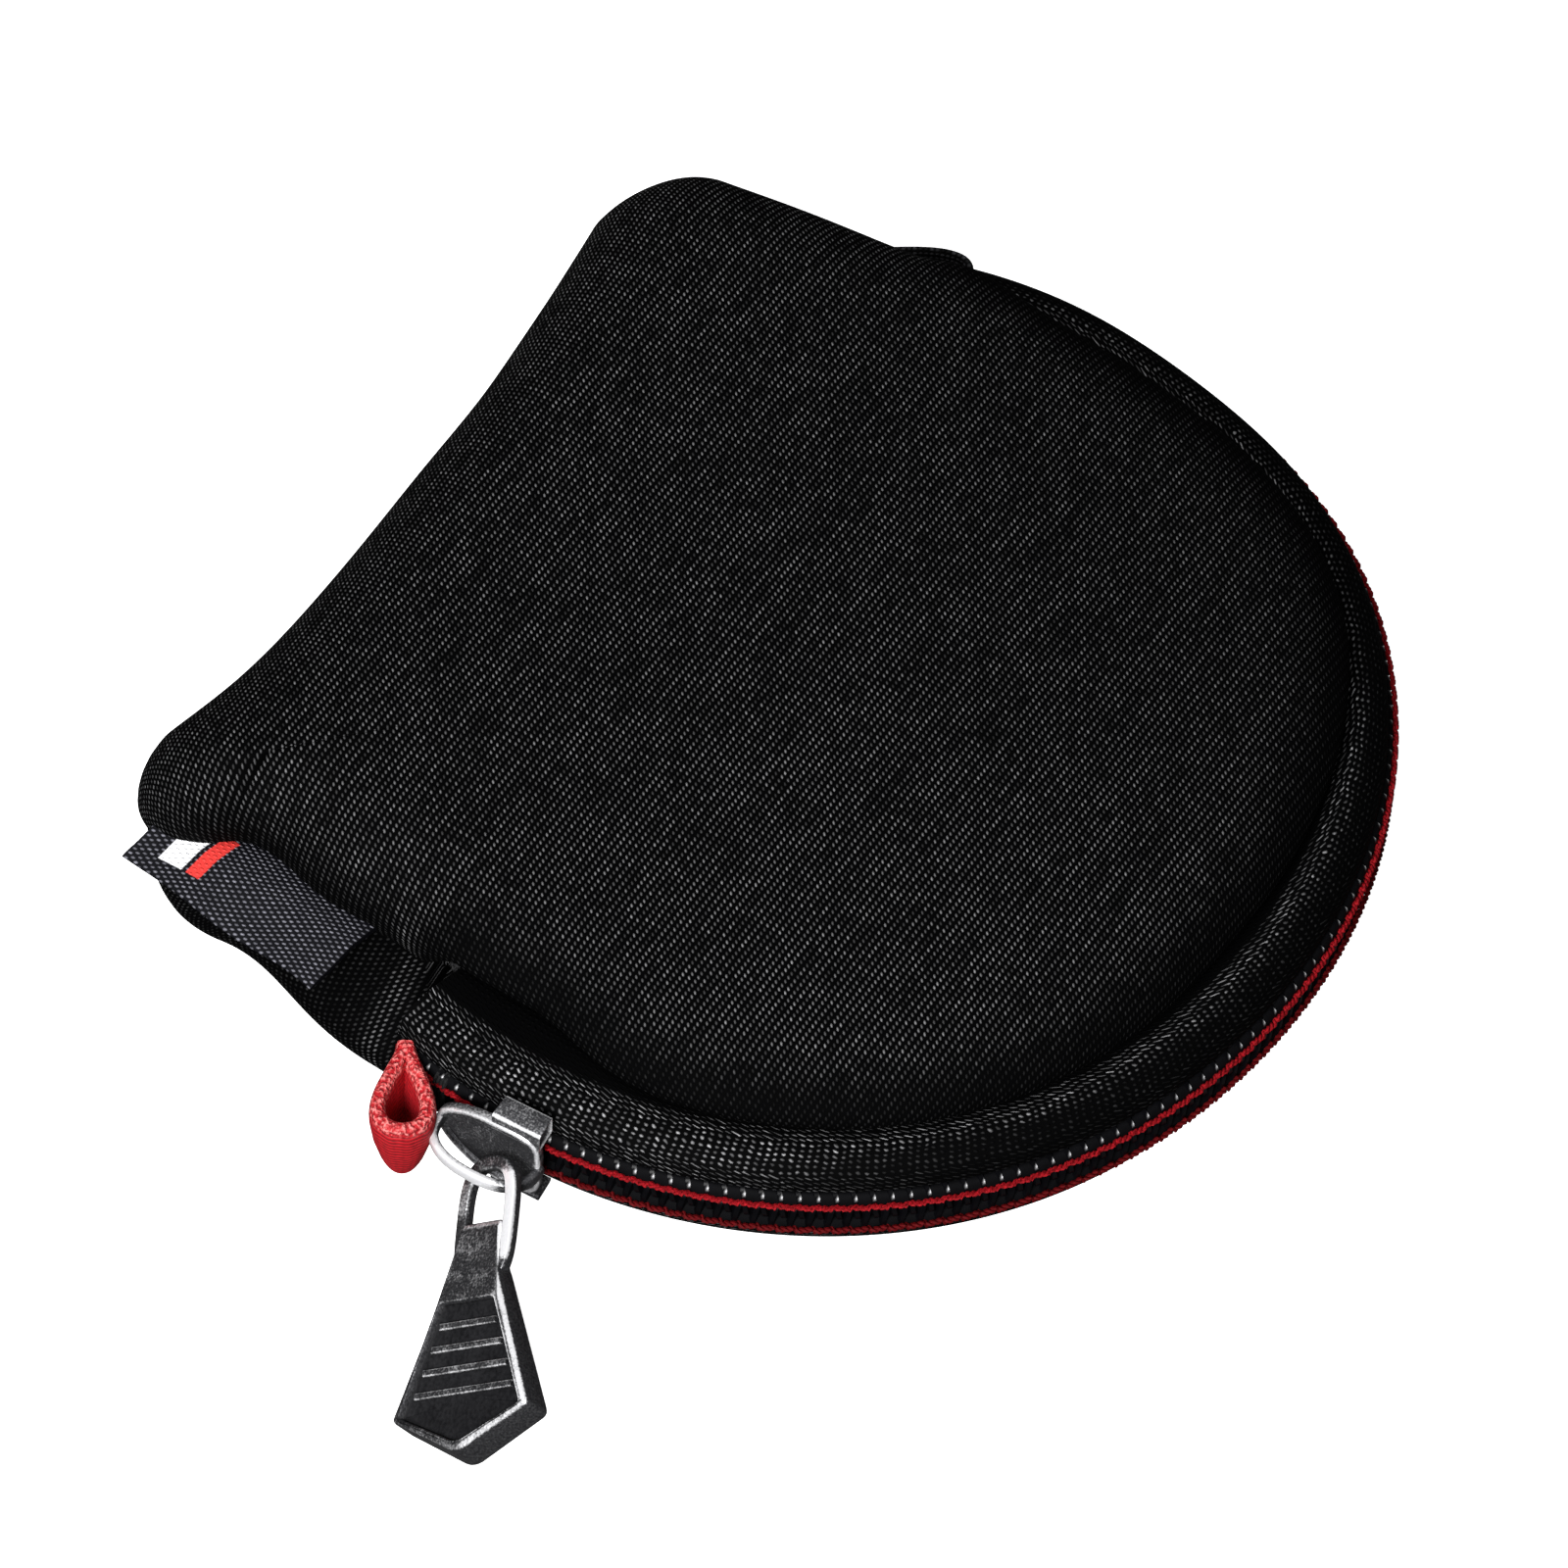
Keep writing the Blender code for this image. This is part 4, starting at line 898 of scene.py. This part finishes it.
BAIL_THICKNESS, BAIL_WIDTH = 0.65, 1.0


def on_slider(place, radius, height):
    """A point of the slider: place along the zip from its middle, plus towards its nose."""
    return round_zip(radius, -(SLIDER_ANGLE + place / ZIP_RADIUS), height)


def face_plate():
    """The leaf: a superellipse drawn in towards the nose, in rows from its back to its face."""
    turn = circle(96)
    squareness = np.where(np.cos(turn) < 0, 0.4, 0.85)
    place = PLATE_HALF_LENGTH * bowed(np.cos(turn), squareness)
    leaf = 1 - 0.5 * fade(place, -1.0, 2 * PLATE_HALF_LENGTH)
    height = PLATE_HALF_WIDTH * bowed(np.sin(turn), squareness) * leaf
    size = np.hypot(place, height)
    rows = ((0.2, PLATE_INNER, 0.1), (0.0, PLATE_INNER + 0.12, 0.3), (0.0, PLATE_OUTER - 0.15, 0.6),
            (0.12, PLATE_OUTER, 0.9), (RIM_WIDTH, PLATE_OUTER, 0.45),
            (RIM_WIDTH + 0.15, PLATE_OUTER - 0.1, 0.3),
            (RIM_WIDTH + 0.25, PLATE_OUTER - FACE_SINK, 0.25), (2.0, PLATE_OUTER - FACE_SINK, 0.3))
    rings, wear = [], []
    for inset, radius, rubbed in rows:
        scale = 1 - inset / np.maximum(size, inset + 0.1)
        rings.append(on_slider(place * scale, radius + 0 * place, PLATE_HEIGHT + height * scale))
        wear.append(np.full_like(place, rubbed))
    ends = [on_slider(0.0, PLATE_INNER, PLATE_HEIGHT), on_slider(0.0, PLATE_OUTER - FACE_SINK, PLATE_HEIGHT)]
    return closed_skin(np.array(rings), wear=np.array(wear), poles=ends)


def rounded_block(low, high, bevel, place_of, edge_wear=0.9, face_wear=0.2):
    """A block with bevelled edges between two corners, its points taken through place_of."""
    low, high = np.array(low, float), np.array(high, float)
    corner = np.linspace(0, math.pi / 2, 4)
    rows, wear = [], []
    for end in (0, 1):
        for inset_share in ((1.0, 0.4, 0.0), (0.0, 0.4, 1.0))[end]:
            inset = bevel * inset_share
            first = (low[0] + bevel * (1 - math.sqrt(max(1 - inset_share ** 2, 0))) if end == 0
                     else high[0] - bevel * (1 - math.sqrt(max(1 - inset_share ** 2, 0))))
            ring = []
            for quarter in range(4):
                x_side, y_side = ((1, 1), (-1, 1), (-1, -1), (1, -1))[quarter]
                around = corner + quarter * math.pi / 2
                centre_u = (high[1] - bevel) if x_side > 0 else (low[1] + bevel)
                centre_v = (high[2] - bevel) if y_side > 0 else (low[2] + bevel)
                ring += [(first, centre_u + (bevel - inset) * math.cos(a),
                          centre_v + (bevel - inset) * math.sin(a)) for a in around]
            rows.append(ring)
            wear.append([edge_wear if inset_share == 0.4 or 0 < step % 4 < 3 else face_wear
                         for step in range(16)])
    local = np.array(rows)
    return closed_skin(place_of(local[..., 0], local[..., 1], local[..., 2]), wear=np.array(wear))


def slider_bail():
    """A flat strap with rounded edges carried over half a squared ellipse from nose to tail."""
    turn = np.linspace(0, math.pi, 49)
    place = BAIL_PLACE - BAIL_HALF_LENGTH * bowed(np.cos(turn), 0.8)
    radius = PLATE_OUTER - 0.4 + BAIL_RISE * np.abs(np.sin(turn)) ** 0.8
    lean = np.stack([-np.cos(turn) / BAIL_HALF_LENGTH, np.sin(turn) / BAIL_RISE], -1)
    lean /= np.linalg.norm(lean, axis=1)[:, None]
    around = circle(20)
    out = bowed(np.cos(around), 0.5) * BAIL_THICKNESS / 2
    wide = bowed(np.sin(around), 0.5) * BAIL_WIDTH / 2
    rings = on_slider(place[:, None] + lean[:, :1] * out, radius[:, None] + lean[:, 1:] * out,
                      BAIL_HEIGHT + wide)
    # Rubbed light on the outer face; the fade to dark towards the tail end is painted shade
    wear = fade(out, -0.3, 0.2) * (0.25 + 0.75 * fade(place[:, None], -2.8, 1.6))
    return closed_skin(rings, wear=wear)


def metal_finish(name, dark, bright):
    """Antique plating: dark and cast-rough in the flats, rubbed bright where the piece is proud, with painted
    light and shade on some pieces.
    """
    finish = Finish(name, {})
    grain = finish.noise(0.16, 2.0)
    cloud = finish.noise(1.4, 3.0)
    rubbed = fade_socket(finish.wear() + (grain - 0.5) * 0.7 + (cloud - 0.5) * 0.6, 0.3, 0.6)
    finish.put("Base Color", (rubbed * 0.9 + grain * grain * 0.2).clamped().between(dark, bright))
    finish.put("Roughness", ((1 - rubbed) * 0.25 + grain * 0.10 + 0.14).clamped())
    finish.put("Metallic", 0.72 - rubbed * 0.4)
    finish.relief(grain * (1.1 - rubbed), 0.05, 0.7)
    return finish


gunmetal = metal_finish("gunmetal", (0.024, 0.024, 0.028, 1), (0.78, 0.78, 0.80, 1))
flanges = [rounded_block((FLANGE_START, FLANGE_INNER, low), (FLANGE_END, PLATE_OUTER - 0.1, high), 0.25,
                         on_slider, edge_wear, 0.38) for low, high, edge_wear in (UPPER_FLANGE, LOWER_FLANGE)]
back_plate = rounded_block((-BACK_HALF_LENGTH, BACK_INNER, BACK_BOTTOM),
                           (BACK_HALF_LENGTH, BACK_OUTER, BACK_TOP), 0.3, on_slider)
post = rounded_block((POST_START, BACK_OUTER - POST_OVERLAP, -POST_HALF_HEIGHT),
                     (POST_END, PLATE_INNER + POST_OVERLAP, POST_HALF_HEIGHT), 0.1, on_slider)
make_piece("slider", [face_plate(), *flanges, back_plate, post, slider_bail()], gunmetal,
           "slider", ["slider_body"], crease=35)

# Pull
# A flat casting hung on the bail by a long eye. Its kite-shaped end has a bevelled rim round a
# sunk field, crossed by plain grip bars.
PULL_HEADING, PULL_DROOP, PULL_TWIST = (math.radians(angle) for angle in (25.6, 17.3, 44.4))
pull_joint = next(joint for joint in frame["joints"] if joint["name"] == "pull_swing")
EYE_MIDDLE, EYE_HALF_WIDTH, EYE_TOP, EYE_END = 0.3, 2.3, -1.72, 6.9
EYE_BAR, EYE_THICKNESS = 0.95, 0.85
NECK_START, NECK_HALF_WIDTH = 2.6, 2.2
PADDLE_MIDDLE, PADDLE_HALF = 0.55, 1.2
WAIST_REACH, WAIST_HALF_WIDTH = 6.1, 2.35
SHOULDER_REACH, SHOULDER_HALF_WIDTH = 16.5, 6.75
TIP_REACH = 19.2
BACK_FLARE = 0.5
FLAT_WEAR = 0.34
FIELD_START = 8.4
FIELD_RIM = 0.7
FIELD_FLOOR = -0.35


def pull_axes():
    """The pull's own axes at rest: X across it, Y from the eye to the tip, Z out of its back."""
    along = Vector((-math.cos(PULL_HEADING) * math.cos(PULL_DROOP),
                    -math.sin(PULL_HEADING) * math.cos(PULL_DROOP), -math.sin(PULL_DROOP)))
    level = Vector((math.sin(PULL_HEADING), -math.cos(PULL_HEADING), 0.0))
    across = level * math.cos(PULL_TWIST) - level.cross(along) * math.sin(PULL_TWIST)
    return np.array([across, along, across.cross(along)])


PULL_AXES = pull_axes()
PULL_PLACE = np.array(pull_joint["pos_m"]) / MM


def on_pull(x, y, z):
    """A point in the pull's own axes, as a place in the case's frame."""
    local = np.stack(np.broadcast_arrays(x, y, z), -1)
    return PULL_PLACE + local @ PULL_AXES


def headings(line):
    """The unit heading at each point of a closed line."""
    ahead = np.roll(line, -1, 0) - np.roll(line, 1, 0)
    return ahead / np.linalg.norm(ahead, axis=1)[:, None]


def eye_ring():
    """A bar of rounded section carried round a long rounded frame."""
    middle = (EYE_TOP + EYE_END) / 2
    turn = circle(72)
    x = EYE_MIDDLE + EYE_HALF_WIDTH * bowed(np.cos(turn), 0.78)
    y = middle + (EYE_END - EYE_TOP) / 2 * bowed(np.sin(turn), 0.55)
    line = np.stack([x, y], -1)
    tangent = headings(line)
    around = circle(24)
    out = bowed(np.cos(around), 0.35) * EYE_BAR / 2
    deep = bowed(np.sin(around), 0.35) * EYE_THICKNESS / 2
    ring_x = line[:, :1] + tangent[:, 1:] * out
    ring_y = line[:, 1:] - tangent[:, :1] * out
    rings = on_pull(ring_x, ring_y, 0 * ring_x + deep)
    merged = fade(ring_y, NECK_START - 0.3, 0.4) * (ring_x < 0)
    merged = merged + fade(ring_y, WAIST_REACH - 0.9, 0.4) * (ring_x > 0)
    wear = (1 - fade(deep, -0.3, 0.2)) * (1 - merged * 0.6)
    # Painted light and shade over the rubbing: darker at the top, by the bail, and towards -x
    wear = wear * (0.35 + 0.65 * fade(ring_y, EYE_TOP + 0.2, 1.2)) * (0.5 + 0.5 * fade(ring_x, -1.6, 0.8))
    points, faces, laid, wear = closed_skin(rings, wear=wear)
    rows, columns = rings.shape[:2]
    index = np.arange(rows * columns).reshape(rows, columns)
    last, first = index[-1], index[0]
    faces = faces[:-2] + np.stack([last, np.roll(last, -1), np.roll(first, -1), first], -1).tolist()
    return points, faces, laid, wear


def rounded_outline(corners, radius, steps=6):
    """A polygon with its corners rounded: each corner becomes a short curve of steps points."""
    corners = np.array(corners, float)
    before, after = np.roll(corners, 1, 0), np.roll(corners, -1, 0)
    points = []
    for corner, prior, following in zip(corners, before, after):
        start = corner + (prior - corner) / np.linalg.norm(prior - corner) * radius
        end = corner + (following - corner) / np.linalg.norm(following - corner) * radius
        for share in np.linspace(0, 1, steps):
            points.append((1 - share) ** 2 * start + 2 * share * (1 - share) * corner + share ** 2 * end)
    return np.array(points)


def drawn_in(outline, inset):
    """The outline moved inwards by inset along its own normals."""
    tangent = headings(outline)
    return outline + np.stack([-tangent[:, 1], tangent[:, 0]], -1) * inset


def kite(start, waist, rim, neck=()):
    """The paddle's outline with its neck, or the field inside its rim, from top to tip."""
    shoulder = SHOULDER_HALF_WIDTH - rim * 1.15
    corners = [(waist, start), (shoulder, SHOULDER_REACH - rim * 0.25), (0.45, TIP_REACH - rim * 1.1),
               (-0.45, TIP_REACH - rim * 1.1), (-shoulder, SHOULDER_REACH - rim * 0.25), (-waist, start)]
    corners += [(-half, reach) for half, reach in neck[::-1]]
    corners = [(half, reach) for half, reach in neck] + corners
    return [(half + PADDLE_MIDDLE * fade(reach, NECK_START, SHOULDER_REACH - NECK_START), reach)
            for half, reach in corners]


def half_width(reach):
    """Half the paddle's width at a reach between its waist and its shoulder."""
    slope = (SHOULDER_HALF_WIDTH - WAIST_HALF_WIDTH) / (SHOULDER_REACH - WAIST_REACH)
    return WAIST_HALF_WIDTH + slope * (reach - WAIST_REACH)


def field_outline():
    """The sunk field's outline, inside the rim."""
    second = FIELD_START + 0.9
    top = ((half_width(FIELD_START) - FIELD_RIM, FIELD_START),)
    return rounded_outline(kite(second, half_width(second) - FIELD_RIM, FIELD_RIM, top), 0.3)


def paddle():
    """The paddle in rows: back, bevels, sides, raised rim, field wall and field floor."""
    outline = rounded_outline(kite(WAIST_REACH, WAIST_HALF_WIDTH, 0.0, ((NECK_HALF_WIDTH, NECK_START),)), 0.4)
    field = field_outline()
    full, low = PADDLE_HALF, FIELD_FLOOR
    rows = [(drawn_in(outline, 0.5), full, 0.2), (drawn_in(outline, 0.22), full, 0.8),
            (outline, full - 0.22, 0.5), (outline, full - 0.4, 0.0), (outline, -full + 0.4, 0.0),
            (drawn_in(outline, 0.12), -full + 0.14, 1.0),
            (drawn_in(outline, 0.34), -full, 0.9), (drawn_in(outline, 0.5), -full, 0.5),
            (drawn_in(field, -0.22), -full, 0.5), (drawn_in(field, -0.08), -full, 0.9),
            (field, -full + 0.1, 0.5), (drawn_in(field, 0.08), low, 0.0), (drawn_in(field, 0.6), low, 0.0)]
    rings, wear = [], []
    for ring, z, rubbed in rows:
        slim = EYE_THICKNESS / 2 + (PADDLE_HALF - EYE_THICKNESS / 2) * fade(ring[:, 1], 4.4, 4.0)
        flare = BACK_FLARE * fade(ring[:, 1], 15.0, 2.5) * (z > 0)
        rings.append(on_pull(ring[:, 0], ring[:, 1] + flare, z * slim / PADDLE_HALF))
        # Painted highlight over the rubbing: the rim's right-hand edges are lighter
        tangent = np.roll(ring, -1, 0) - np.roll(ring, 1, 0)
        facing_right = tangent[:, 1] / np.maximum(np.linalg.norm(tangent, axis=1), 1e-6)
        faced = rubbed * np.clip(0.6 + 0.4 * facing_right, 0.35, 1.0)
        wear.append(np.maximum(faced, FLAT_WEAR if z == -full else 0.0))
    middle = (FIELD_START + TIP_REACH) / 2 + 1.5
    ends = [on_pull(PADDLE_MIDDLE, middle, full), on_pull(PADDLE_MIDDLE, middle, low)]
    return closed_skin(np.array(rings), wear=np.array(wear), poles=ends)


BAR_REACHES = (10.0, 11.6, 13.2, 14.8)
BAR_WIDTH = 0.5
INLAY_FACE = -0.7


def grip_bar(reach):
    """A plain ridge across the field, as long as the field is wide there."""
    half = half_width(reach) - FIELD_RIM - 0.55
    middle = PADDLE_MIDDLE * fade(reach, NECK_START, SHOULDER_REACH - NECK_START)
    return rounded_block((middle - half, reach - BAR_WIDTH / 2, INLAY_FACE - 0.25),
                         (middle + half, reach + BAR_WIDTH / 2, FIELD_FLOOR), 0.12, on_pull, 0.62, 0.35)


pull_metal = metal_finish("pull_metal", (0.012, 0.012, 0.015, 1), (0.82, 0.82, 0.84, 1))
make_piece("pull", [eye_ring(), paddle(), *[grip_bar(reach) for reach in BAR_REACHES]], pull_metal,
           "pull", ["pull_frame"], crease=35)

# Pull inlay
# Black enamel poured into the sunk field and levelled below the rim.


def inlay():
    """The enamel: the field's outline, its face a little dished towards the rim."""
    field = drawn_in(field_outline(), 0.1)
    rows = ((0.05, FIELD_FLOOR - 0.02), (0.0, FIELD_FLOOR - 0.1), (0.0, INLAY_FACE - 0.1), (0.18, INLAY_FACE))
    rings = [on_pull(*drawn_in(field, inset).T, z) for inset, z in rows]
    middle = (FIELD_START + TIP_REACH) / 2 + 1.5
    ends = [on_pull(PADDLE_MIDDLE, middle, FIELD_FLOOR - 0.02), on_pull(PADDLE_MIDDLE, middle, INLAY_FACE)]
    return [closed_skin(np.array(rings), poles=ends)]


def enamel_finish():
    """Dull black enamel with dust and fine scratches."""
    finish = Finish("black_enamel", {"Specular IOR Level": 0.15})
    dust = finish.noise(0.3, 4.0)
    cloud = finish.noise(2.5)
    shade = (dust * 0.9 + cloud * 0.5 - 0.35).clamped()
    finish.put("Base Color", shade.between((0.001, 0.001, 0.0015, 1), (0.022, 0.022, 0.024, 1)))
    finish.put("Roughness", dust * 0.25 + 0.4)
    finish.relief(dust, 0.02, 0.5)
    return finish


make_piece("pull_inlay_enamel", inlay(), enamel_finish(), "pull", ["pull_inlay"], crease=35)

# Studio
# A white sheet that only the camera sees, as in a cut-out picture; soft light from above and
# from the near side; a small hard light; and the camera where the photograph was taken from.
CAMERA_PLACE = (-0.395507, -0.205940, 0.650567)
CAMERA_RIGHT = Vector((0.50899803, -0.8600919, 0.03410184))
CAMERA_DOWN = Vector((-0.69941195, -0.43635206, -0.56605636))
CAMERA_LENS, SENSOR_WIDTH = 250.56, 36.0
WORLD_LIGHT = 0.10
FLOOR_SIZE = 3.0


def make_floor():
    """A wide sheet that glows so that no shadow shows on it, and that lights nothing itself."""
    half = FLOOR_SIZE / 2
    mesh = bpy.data.meshes.new("floor")
    corners = [(-half, -half, 0), (half, -half, 0), (half, half, 0), (-half, half, 0)]
    mesh.from_pydata(corners, [], [(0, 1, 2, 3)])
    finish = Finish("pale_floor", {"Roughness": 0.9, "Specular IOR Level": 0.1, "Emission Strength": 0.9,
                                   "Emission Color": (1.0, 1.0, 1.0, 1.0)})
    grain = finish.noise(30.0)
    finish.put("Base Color", grain.between((0.90, 0.90, 0.90, 1), (0.93, 0.93, 0.93, 1)))
    mesh.materials.append(finish.material)
    floor = bpy.data.objects.new("floor", mesh)
    floor.visible_diffuse = False
    floor.visible_glossy = False
    bpy.context.scene.collection.objects.link(floor)


def make_light(name, place, size, power):
    """A square soft light at a place, turned to the origin."""
    lamp = bpy.data.lights.new(name, "AREA")
    lamp.shape, lamp.size, lamp.energy = "SQUARE", size, power
    holder = bpy.data.objects.new(name, lamp)
    holder.location = place
    holder.rotation_euler = (-Vector(place)).to_track_quat("-Z", "Y").to_euler()
    bpy.context.scene.collection.objects.link(holder)


make_floor()
make_light("top", (-0.1, 0.2, 0.9), 0.6, 3.0)
make_light("near_side", (-0.60, -0.10, 0.45), 0.3, 9.0)
make_light("glint", (-0.15, 0.35, 0.75), 0.05, 1.0)
world = bpy.data.worlds.new("studio")
bpy.context.scene.world = world
world.use_nodes = True
sky = world.node_tree.nodes["Background"].inputs
sky["Color"].default_value = (1, 1, 1, 1)
sky["Strength"].default_value = WORLD_LIGHT
bpy.context.scene.view_settings.view_transform = "Standard"

lens = bpy.data.cameras.new("camera")
lens.lens = CAMERA_LENS
lens.sensor_width = SENSOR_WIDTH
lens.clip_start, lens.clip_end = 0.05, 10.0
camera = bpy.data.objects.new("camera", lens)
turn = Matrix((CAMERA_RIGHT, -CAMERA_DOWN, -CAMERA_RIGHT.cross(CAMERA_DOWN))).transposed().to_4x4()
camera.matrix_world = Matrix.Translation(CAMERA_PLACE) @ turn
bpy.context.scene.collection.objects.link(camera)
bpy.context.scene.camera = camera
